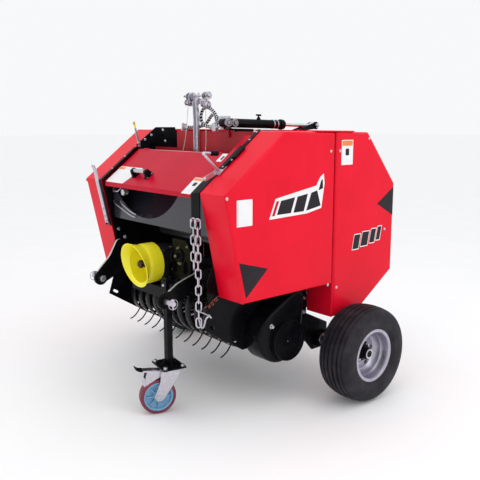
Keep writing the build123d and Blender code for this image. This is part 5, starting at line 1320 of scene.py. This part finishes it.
# %% [markdown]
# The cylinder is a black tube with a screwed gland at the rod's end, a stop valve with a T-handle on top,
# and an eye at each end. The rod is hard chrome.

# %% Cylinder
cyl_x, barrel_pin, rod_pin = 235.0, (238.0, 1174.0), (760.0, 1162.0)
cyl_way = (at(cyl_x, *rod_pin) - at(cyl_x, *barrel_pin)).normalized()
cyl_start = at(cyl_x, *barrel_pin)
def on_cylinder(along, up=0.0, side=0.0):
    return cyl_start + cyl_way * mm(along) + Vector((1, 0, 0)).cross(cyl_way) * mm(up) + Vector((mm(side), 0, 0))
bm = bmesh.new()
tube_r, gland_r = 18.6, 21.0
turn(bm, cyl_start, cyl_way, [(18, 0), (18, 13), (20, 16), (24, tube_r), (300, tube_r), (301, 16.6), (303, 16.6), (304, gland_r),
                              (328, gland_r), (329.6, gland_r - 1.2), (330, 16), (330, 8.3), (200, 8.3), (200, 0)], 48)
turn(bm, cyl_start, cyl_way, [(8, 0), (8, 11), (21, 11), (21, 0)], 32)
turn(bm, at(cyl_x - 12, *barrel_pin), (1, 0, 0), [(0, 8.2), (0, 16.4), (1, 17), (23, 17), (24, 16.4), (24, 8.2)], 44, closed=True)
piece("barrel_tube", bm, "black", "barrel", "cylinder_barrel", bevel=0.4)
bm = bmesh.new()
for k in range(12):
    t = 2 * pi * k / 12
    out = Vector((1, 0, 0)) * cos(t) + Vector((1, 0, 0)).cross(cyl_way) * sin(t)
    turn(bm, on_cylinder(307) + out * mm(gland_r - 0.4), cyl_way, [(0, 0), (0, 2.0), (18, 2.0), (18, 0)], 8)
piece("gland_ribs", bm, "black", "barrel")
bm = bmesh.new()
valve = on_cylinder(185, tube_r - 1)
up_way = Vector((1, 0, 0)).cross(cyl_way)
turn(bm, valve, up_way, [(0, 0), (0, 8.6), (5, 8.8), (6, 7), (9, 6.8), (10, 4.2), (14, 3.6), (17, 3.6), (17, 0)], 28)
rod(bm, valve + up_way * mm(19) - cyl_way * mm(14), valve + up_way * mm(19) + cyl_way * mm(14), 3.8, 18, 1)
piece("stop_valve", bm, "black", "barrel")
bm = bmesh.new()
for along in (262, 284):
    turn(bm, on_cylinder(along), cyl_way, [(0, tube_r), (0, tube_r + 1), (5, tube_r + 1), (5, tube_r)], 48, closed=True)
    rod(bm, on_cylinder(along + 2.5, tube_r + 0.6, 3), on_cylinder(along + 2.5, tube_r + 0.6, -7), 1.8, 12, 0.4)
piece("barrel_clamps", bm, "zinc", "barrel")
bm = bmesh.new()
pin_reach = 33.0
turn(bm, at(cyl_x - 24, *barrel_pin), (1, 0, 0), [(0, 0), (0, 11), (1.2, 12), (4, 12), (4, 10), (42, 10), (42, 15.5), (43, 16.4),
                                               (51, 16.4), (52, 15.4), (52, 12), (50, 11), (50, 0)], 40)
turn(bm, at(cyl_x + 25, *barrel_pin), (1, 0, 0), [(0, 0), (0, 8.6), (6.5, 8.6), (8, 7), (8, 0)], 6)
piece("barrel_pin_ends", bm, "steel", sharp=30)
bm = bmesh.new()
turn(bm, on_cylinder(37, 0, tube_r - 3), (1, 0, 0), [(0, 0), (0, 14), (1.5, 16), (4, 16.2), (9, 16.2), (10, 15.2), (10, 11.5),
                                                (8, 10.5), (8, 0)], 40)
turn(bm, on_cylinder(37, 0, tube_r + 5), (1, 0, 0), [(0, 0), (0, 8.6), (6.5, 8.6), (8, 7), (8, 0)], 6)
piece("barrel_port", bm, "steel", "barrel", sharp=30)
print("cylinder ready")
# %% [markdown]
# ## Pick-up reel
# Four bars carry double spring tines. A tine is spring wire: two coils round the bar, then a long finger
# that sweeps forward at its tip. The bars sit on round end plates, and one tube runs through the middle.

# %% Reel body
reel_back, reel_z, bar_r, tine_turn = 240.0, 375.0, 85.0, radians(53)
reel_half, plate_in, plate_out = 367.0, 375.0, 379.0
bm = bmesh.new()
turn(bm, at(-reel_half, reel_back, reel_z), (1, 0, 0), [(0, 0), (0, 25), (2 * reel_half, 25), (2 * reel_half, 0)], 40)
turn(bm, at(-plate_out, reel_back, reel_z), (1, 0, 0), [(0, 0), (0, 15), (2 * plate_out, 15), (2 * plate_out, 0)], 32)
for x, way in ((-reel_half, 1), (reel_half, -1)):
    turn(bm, at(x, reel_back, reel_z), (way, 0, 0), [(0, 25), (0, 97.5), (1, 99), (4, 99), (5, 97.5), (5, 25)], 64, closed=True)
piece("reel_body", bm, "black", "reel", "pickup_reel", bevel=0.5)
bm = bmesh.new()
for k in range(4):
    a = tine_turn + k * pi / 2
    d, z = reel_back + bar_r * cos(a), reel_z + bar_r * sin(a)
    corner = [(9 * p * cos(a) - 9 * q * sin(a), 9 * p * sin(a) + 9 * q * cos(a)) for p, q in ((-1, -1), (1, -1), (1, 1), (-1, 1))]
    plate(bm, rounded([(d + u, z + v) for u, v in corner], 3), -reel_half + 5, reel_half - 5)
piece("tine_bars", bm, "black", "reel")
print("reel bars: 4")

# %% Tines
tine_starts = [(k - 5.5) * 64.0 for k in range(12)]
tine_bends = [(97, 0.008), (112, 0.026), (125, 0.034), (142, 0.032), (160, 0.012), (175, -0.022), (188, -0.070)]
def tube(bm, spots, r, sides=8):
    """Round bar through scene points, with closed ends."""
    rings = []
    normal = None
    for k, here in enumerate(spots):
        way = (spots[min(k + 1, len(spots) - 1)] - spots[max(k - 1, 0)]).normalized()
        normal = way.orthogonal().normalized() if normal is None else (normal - way * normal.dot(way)).normalized()
        other = way.cross(normal)
        rings.append([bm.verts.new(here + (normal * cos(t) + other * sin(t)) * mm(r))
                      for t in (2 * pi * i / sides for i in range(sides))])
    for a, b in zip(rings, rings[1:]):
        for k in range(sides):
            j = (k + 1) % sides
            bm.faces.new((a[k], a[j], b[j], b[k]))
    bm.faces.new(rings[0]), bm.faces.new(list(reversed(rings[-1])))
bm = bmesh.new()
for turn_step in range(4):
    a = tine_turn + turn_step * pi / 2
    for x in tine_starts:
        coil = []
        for k in range(19):
            t = k / 18
            spin = a + pi / 2 - t * 2.0 * 2 * pi
            coil.append(at(x - 8 + 8 * t, reel_back + bar_r * cos(a) + 15.2 * cos(spin), reel_z + bar_r * sin(a) + 15.2 * sin(spin)))
        finger = [at(x, reel_back + r * cos(a + lead), reel_z + r * sin(a + lead)) for r, lead in tine_bends]
        tube(bm, coil, 2.2, 6)
        tube(bm, finger, 3.0, 8)
piece("spring_tines", bm, "black", "reel", sharp=60)
print("tines:", 4 * len(tine_starts))

# %% [markdown]
# ## Chain case
# The big black case beside the right-hand plate covers the chain that drives the reel. Its cover is pressed
# with a raised rim and held by small bolts; a flange runs round the case where it meets the plate.

# %% Chain case trim
case_x, cover = 379.0, (368.0, 288.0)
bm = bmesh.new()
bolt(bm, at(479, 279.7, 360.5), (1, 0, 0), 10.0, 0.8)
bolt(bm, at(491, cover[0] - 8, cover[1] - 4), (1, 0, 0), 3.6, 0.7, washer=False)
piece("case_bolts", bm, "zinc")
bm = bmesh.new()
turn(bm, at(490.8, *cover), (1, 0, 0), [(0, 76), (0, 82), (2.4, 81), (3, 78), (2.4, 75), (0.2, 74)], 72, closed=True)
turn(bm, at(490.8, *cover), (1, 0, 0), [(0, 0), (0, 15), (0.8, 14.4), (0.8, 9), (0.3, 8), (0.3, 0)], 40)
piece("case_hub", bm, "black", bevel=0.4)
print("chain case trimmed")

# %% [markdown]
# ## Stand and caster
# The caster is a trade part: a pressed fork with a ball race, a brake pedal, a maroon tread on a pale blue
# core. The whole fork is turned a little, so its pieces are drawn in their own axes and then placed.

# %% Caster wheel
stand_x, stand_back, turn_away = 207.0, -39.0, radians(-20)
roll_way = Vector((cos(turn_away), sin(turn_away), 0))
ahead_way = Vector((sin(turn_away), -cos(turn_away), 0))
swivel = at(stand_x, stand_back, 0)
def on_fork(side, ahead, up):
    """A place in the fork's own axes: along the wheel's axle, ahead of the swivel, and up."""
    return swivel + roll_way * mm(side) + ahead_way * mm(ahead) + Vector((0, 0, mm(up)))
wheel_middle = on_fork(0, 50, 75)
bm = bmesh.new()
turn(bm, wheel_middle, roll_way, [(-22.5, 61), (-22.5, 66), (-20.5, 71), (-15, 74.4), (-6, 74.9), (6, 74.9), (15, 74.4),
                                  (20.5, 71), (22.5, 66), (22.5, 61)], 72, closed=True)
piece("caster_tyre", bm, "urethane", "caster_wheel", "caster_tread")
bm = bmesh.new()
turn(bm, wheel_middle, roll_way, [(-20.5, 61), (-20.5, 55), (-17, 53), (-8, 51), (-6, 24), (-10, 22), (-20.5, 20), (-20.5, 6.1),
                                  (20.5, 6.1), (20.5, 20), (10, 22), (6, 24), (8, 51), (17, 53), (20.5, 55), (20.5, 61)],
     64, closed=True)
for k in range(8):
    t = k * pi / 4
    spoke = roll_way.orthogonal().normalized() * cos(t) + roll_way.cross(roll_way.orthogonal().normalized()) * sin(t)
    side = roll_way.cross(spoke)
    corners = []
    for u, v, w in ((19, -2, -18), (53, -2, -15), (53, 2, -15), (19, 2, -18), (19, -2, 18), (53, -2, 15), (53, 2, 15), (19, 2, 18)):
        corners.append(bm.verts.new(wheel_middle + spoke * mm(u) + side * mm(v) + roll_way * mm(w)))
    for quad in ((0, 1, 2, 3), (7, 6, 5, 4), (0, 4, 5, 1), (1, 5, 6, 2), (2, 6, 7, 3), (3, 7, 4, 0)):
        bm.faces.new([corners[i] for i in quad])
piece("caster_hub", bm, "blue", "caster_wheel", "caster_core", bevel=0.6)
bm = bmesh.new()
for way in (-1, 1):
    turn(bm, wheel_middle + roll_way * mm(way * 20.5), roll_way * way, [(0, 6.2), (0, 16), (1, 16.4), (3, 14), (3, 6.2)], 36, closed=True)
piece("caster_bearings", bm, "zinc", "caster_wheel")
print("caster wheel ready")

# %% [markdown]
# The fork is pressed from zinc-plated sheet. A ball race sits between it and the foot plate, the two cheeks
# narrow to the axle, and a pedal with a black end sticks out ahead: pressed down, it brakes the wheel.

# %% Caster fork
plate_z, crown_z = 197.0, 176.0
cheek_in, cheek_out = 27.6, 31.6
def on_side(bm, outline, side0, side1):
    """Prism from a drawing of (ahead, up) points in the fork's own axes."""
    near = [bm.verts.new(on_fork(side0, *p)) for p in outline]
    far = [bm.verts.new(on_fork(side1, *p)) for p in outline]
    bm.faces.new(near), bm.faces.new(list(reversed(far)))
    for k in range(len(outline)):
        j = (k + 1) % len(outline)
        bm.faces.new((near[j], near[k], far[k], far[j]))
cheek = rounded([(40, 184), (-38, 184), (-36, 166), (-6, 118), (30, 66), (44, 58), (60, 60), (66, 74), (62, 96), (44, 140)], 9)
bm = bmesh.new()
for way in (-1, 1):
    on_side(bm, cheek, way * cheek_in, way * cheek_out)
on_side(bm, [(40, 180), (-38, 180), (-38, 184), (40, 184)], -cheek_in, cheek_in)
on_side(bm, rounded([(37, 184), (41, 184), (41, 152), (37, 148)], 1), -cheek_in, cheek_in)
piece("fork_sheet", bm, "zinc", "caster", "caster_fork", bevel=1.2)
bm = bmesh.new()
race = on_fork(0, 0, 184)
turn(bm, race, (0, 0, 1), [(0, 0), (0, 34), (1, 36), (5, 36.5), (7, 34), (7.5, 30), (12.6, 30), (12.6, 0)], 56)
turn(bm, race, (0, 0, -1), [(0, 0), (0, 24), (5, 22), (6, 9), (12, 9), (13, 7), (13, 0)], 40)
piece("ball_race", bm, "zinc", "caster", sharp=28)
bm = bmesh.new()
for way in (-1, 1):
    end = on_fork(way * cheek_out, 50, 75)
    turn(bm, end, roll_way * way, [(0, 0), (0, 13), (1.4, 12.4), (1.4, 0)], 32)
    turn(bm, end + roll_way * mm(way * 1.4), roll_way * way, [(0, 0), (0, 9.6), (5, 9.6), (6.2, 8), (6.2, 0)], 6)
piece("fork_axle_nuts", bm, "zinc", "caster", bevel=0.3)
bm = bmesh.new()
lever = [(30, 172), (58, 178), (92, 182), (118, 186), (118, 193), (92, 191), (58, 188), (30, 183)]
on_side(bm, lever, -18, 18)
for way in (-1, 1):
    on_side(bm, [(34, 184), (34, 160), (60, 150), (96, 128), (104, 134), (100, 172), (92, 188), (58, 185)], way * 17, way * 20)
on_side(bm, rounded([(96, 128), (104, 120), (112, 130), (106, 160), (102, 158)], 4), -17, 17)
piece("brake_lever", bm, "zinc", "caster", bevel=1.0)
bm = bmesh.new()
pad = [(112, 188), (128, 191), (138, 197), (144, 205), (141, 207), (134, 201), (126, 196), (112, 194)]
on_side(bm, pad, -19, 19)
piece("pedal_pad", bm, "black", "caster", bevel=1.0)
print("fork and pedal ready")

# %% [markdown]
# The stand's post is a square tube in a sleeve that is welded to the right-hand arm. A crank pin through both
# would hold it at a height. Its foot plate carries the caster with four bolts. The sleeve reaches down to 440 mm,
# because the tube drops 80 mm at its lowest, and its top must still be in the sleeve there.

# %% Stand
post_w, sleeve_w, sleeve_low, sleeve_top, post_top = 26.0, 36.0, 440.0, 556.0, 568.0
def square_tube(bm, half, inner, low, high):
    corners = [(-1, -1), (1, -1), (1, 1), (-1, 1)]
    rings = [[bm.verts.new(at(stand_x + a * h, stand_back + b * h, z)) for a, b in corners]
             for h, z in ((half, low), (half, high), (inner, high), (inner, low))]
    for a, b in zip(rings, rings[1:] + rings[:1]):
        for k in range(4):
            j = (k + 1) % 4
            bm.faces.new((a[k], a[j], b[j], b[k]))
bm = bmesh.new()
square_tube(bm, sleeve_w / 2, post_w / 2 + 0.3, sleeve_low, sleeve_top)
block(bm, (stand_x + sleeve_w / 2 - 0.5, stand_back - 9, 492), (hitch_x - arm_t / 2 - 0.2, stand_back + 9, 546))
piece("sleeve_tube", bm, "black", "chassis", "stand_sleeve", bevel=1.2)
bm = bmesh.new()
for up in (500, 536):
    bolt(bm, at(stand_x, stand_back - sleeve_w / 2, up), (0, -1, 0), 5.5, 0.9)
piece("sleeve_bolts", bm, "zinc", "chassis")
bm = bmesh.new()
square_tube(bm, post_w / 2, post_w / 2 - 3, plate_z + 3, post_top)
foot_turn = turn_away / 2
foot_side, foot_back = Vector((cos(foot_turn), sin(foot_turn), 0)), Vector((-sin(foot_turn), cos(foot_turn), 0))
def on_foot(side, back, up):
    return swivel + foot_side * mm(side) + foot_back * mm(back) + Vector((0, 0, mm(up)))
outline = rounded([(-65, -50), (65, -50), (65, 50), (-65, 50)], 5)
low = [bm.verts.new(on_foot(a, b, plate_z)) for a, b in outline]
high = [bm.verts.new(on_foot(a, b, plate_z + 6)) for a, b in outline]
bm.faces.new(low), bm.faces.new(list(reversed(high)))
for k in range(len(outline)):
    j = (k + 1) % len(outline)
    bm.faces.new((low[k], low[j], high[j], high[k]))
for a, b in ((1, 0), (-1, 0), (0, 1), (0, -1)):
    corner = [bm.verts.new(on_foot(a * u + b * v, b * u + a * v, up)) for u, v, up in
              ((13, -2, 203), (36, -2, 203), (13, -2, 232), (13, 2, 203), (36, 2, 203), (13, 2, 232))]
    for quad in ((0, 1, 2), (5, 4, 3), (0, 3, 4, 1), (1, 4, 5, 2), (2, 5, 3, 0)):
        bm.faces.new([corner[i] for i in quad])
piece("stand_tube", bm, "black", "stand", "stand_post", bevel=1.0)
bm = bmesh.new()
for a in (-1, 1):
    for b in (-1, 1):
        bolt(bm, on_foot(a * 52, b * 38, plate_z + 6), (0, 0, 1), 9.0, 0.9)
        turn(bm, on_foot(a * 52, b * 38, plate_z - 9), (0, 0, 1), [(0, 0), (0, 6.5), (9, 6.5), (9, 0)], 6)
piece("foot_bolts", bm, "zinc", "stand")
print("stand ready")

# %% [markdown]
# ## Bolts behind and below
# The axle is bolted under the side plates through two arms, the rod's bracket through the tailgate's cover, and
# the tailgate hangs on arms with two bolts each. Their places follow from the boxes of the solids they hold.

# %% Axle, bracket and hinge bolts
arm_lo, arm_hi = (1000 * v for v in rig.box("axle_arms"))
keel = arm_hi.z - 80
seam = 584.0
bm = bmesh.new()
for sign in (-1, 1):
    for back, up in ((seam - 68, keel + 62), (seam - 22, keel + 62), (seam - 68, keel - 8), (seam - 22, keel - 2)):
        bolt(bm, at(sign * arm_hi.x, back, up), (sign, 0, 0), 8.0, 0.75)
    turn(bm, at(sign * (arm_hi.x + 20), wheel_back, tyre_r), (sign, 0, 0),
         [(0, 15.2), (0, 26), (4, 25), (5, 22), (5, 15.2)], 40, closed=True)
piece("axle_bolts", bm, "zinc", "chassis")
bracket_lo, bracket_hi = (1000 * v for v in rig.box("rod_bracket"))
pin_bosses = (rod_pin[0], rod_pin[1])
bm = bmesh.new()
for sign in (-1, 1):
    turn(bm, at(cyl_x + sign * (bracket_hi.x - cyl_x), *pin_bosses), (sign, 0, 0),
         [(0, 0), (0, 10.5), (1, 11), (3, 11), (3, 7.6), (8, 7.6), (9, 6.4), (9, 0)], 32)
piece("rod_pin_ends", bm, "zinc", "tailgate")
hinge_lo, hinge_hi = (1000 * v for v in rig.box("tailgate_hinge_arms"))
bm = bmesh.new()
hinge_place = (450.0, 1105.0)
for sign in (-1, 1):
    for back, up in ((620, 1093), (675, 1093)):
        bolt(bm, at(sign * hinge_hi.x, back, up), (sign, 0, 0), 8.0, 0.75)
piece("hinge_bolts", bm, "zinc", "tailgate")
print("axle arms reach", round(arm_hi.x), "hinge arms reach", round(hinge_hi.x))

# %% [markdown]
# ## Solids that keep their shape
# Plates, beams and rollers are already right as solids. They only take their finish and a bevel. A node
# that a piece above stands for is skipped, because it is no longer shown.

# %% Finishes for the rest
kept = {
    "black": ["chamber_plate_left", "chamber_plate_right", "cross_beam", "hitch_arm_left", "hitch_arm_right",
              "guard_saddle", "stripper_bands", "chain_case", "axle_beam", "axle_arms", "stand_sleeve",
              "hood_strips", "hood_post", "twine_stop_plate", "bale_pointer", "tailgate_plate_left",
              "tailgate_plate_right", "tailgate_hinge_arms", "rod_bracket", "cylinder_barrel", "lid_handle",
              "pickup_reel", "hub_left", "hub_right", "stand_post", "barrel_bracket"],
    "red": ["shield_front_left", "shield_front_right", "tailgate_shield_left", "tailgate_shield_right",
            "tailgate_cover"],
    "lid_red": ["lid"], "dark_red": ["well_wall"], "grey": ["twine_box"], "cast": ["gearbox"],
    "yellow": ["shaft_guard"], "roller": ["front_rollers", "rear_rollers"], "steel": ["input_shaft"],
    "chrome": ["cylinder_rod"], "rim": ["rim_left", "rim_right"], "tyre": ["tyre_left", "tyre_right"],
    "urethane": ["caster_tread"], "blue": ["caster_core"],
    "zinc": ["tailgate_hinge_pins", "lid_hinge_rod", "twine_guide", "twine_crank", "twine_lever", "lift_chain",
             "hose_ports", "caster_fork"],
    "hose": ["hose_upper", "hose_lower"], "twine": ["twine_left", "twine_right"],
}
replaced = {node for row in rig.table()["pieces"] for node in row.get("replaces", [])} if "pieces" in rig.table() else set()
for finish_name, nodes in kept.items():
    for node in nodes:
        if node not in replaced:
            dress(node, finish_name, 0 if finish_name in ("hose", "twine", "tyre") else 0.8)
print("solids kept as they are:", sum(len(n) for n in kept.values()) - len(replaced))

# %% Sizes and the end
with open("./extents.json", "w") as out:
    json.dump({"cad": [list(v) for v in cad_box], "visual": [list(v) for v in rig.bounds()]}, out)
print("visual box:", [[round(c, 4) for c in v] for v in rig.bounds()])
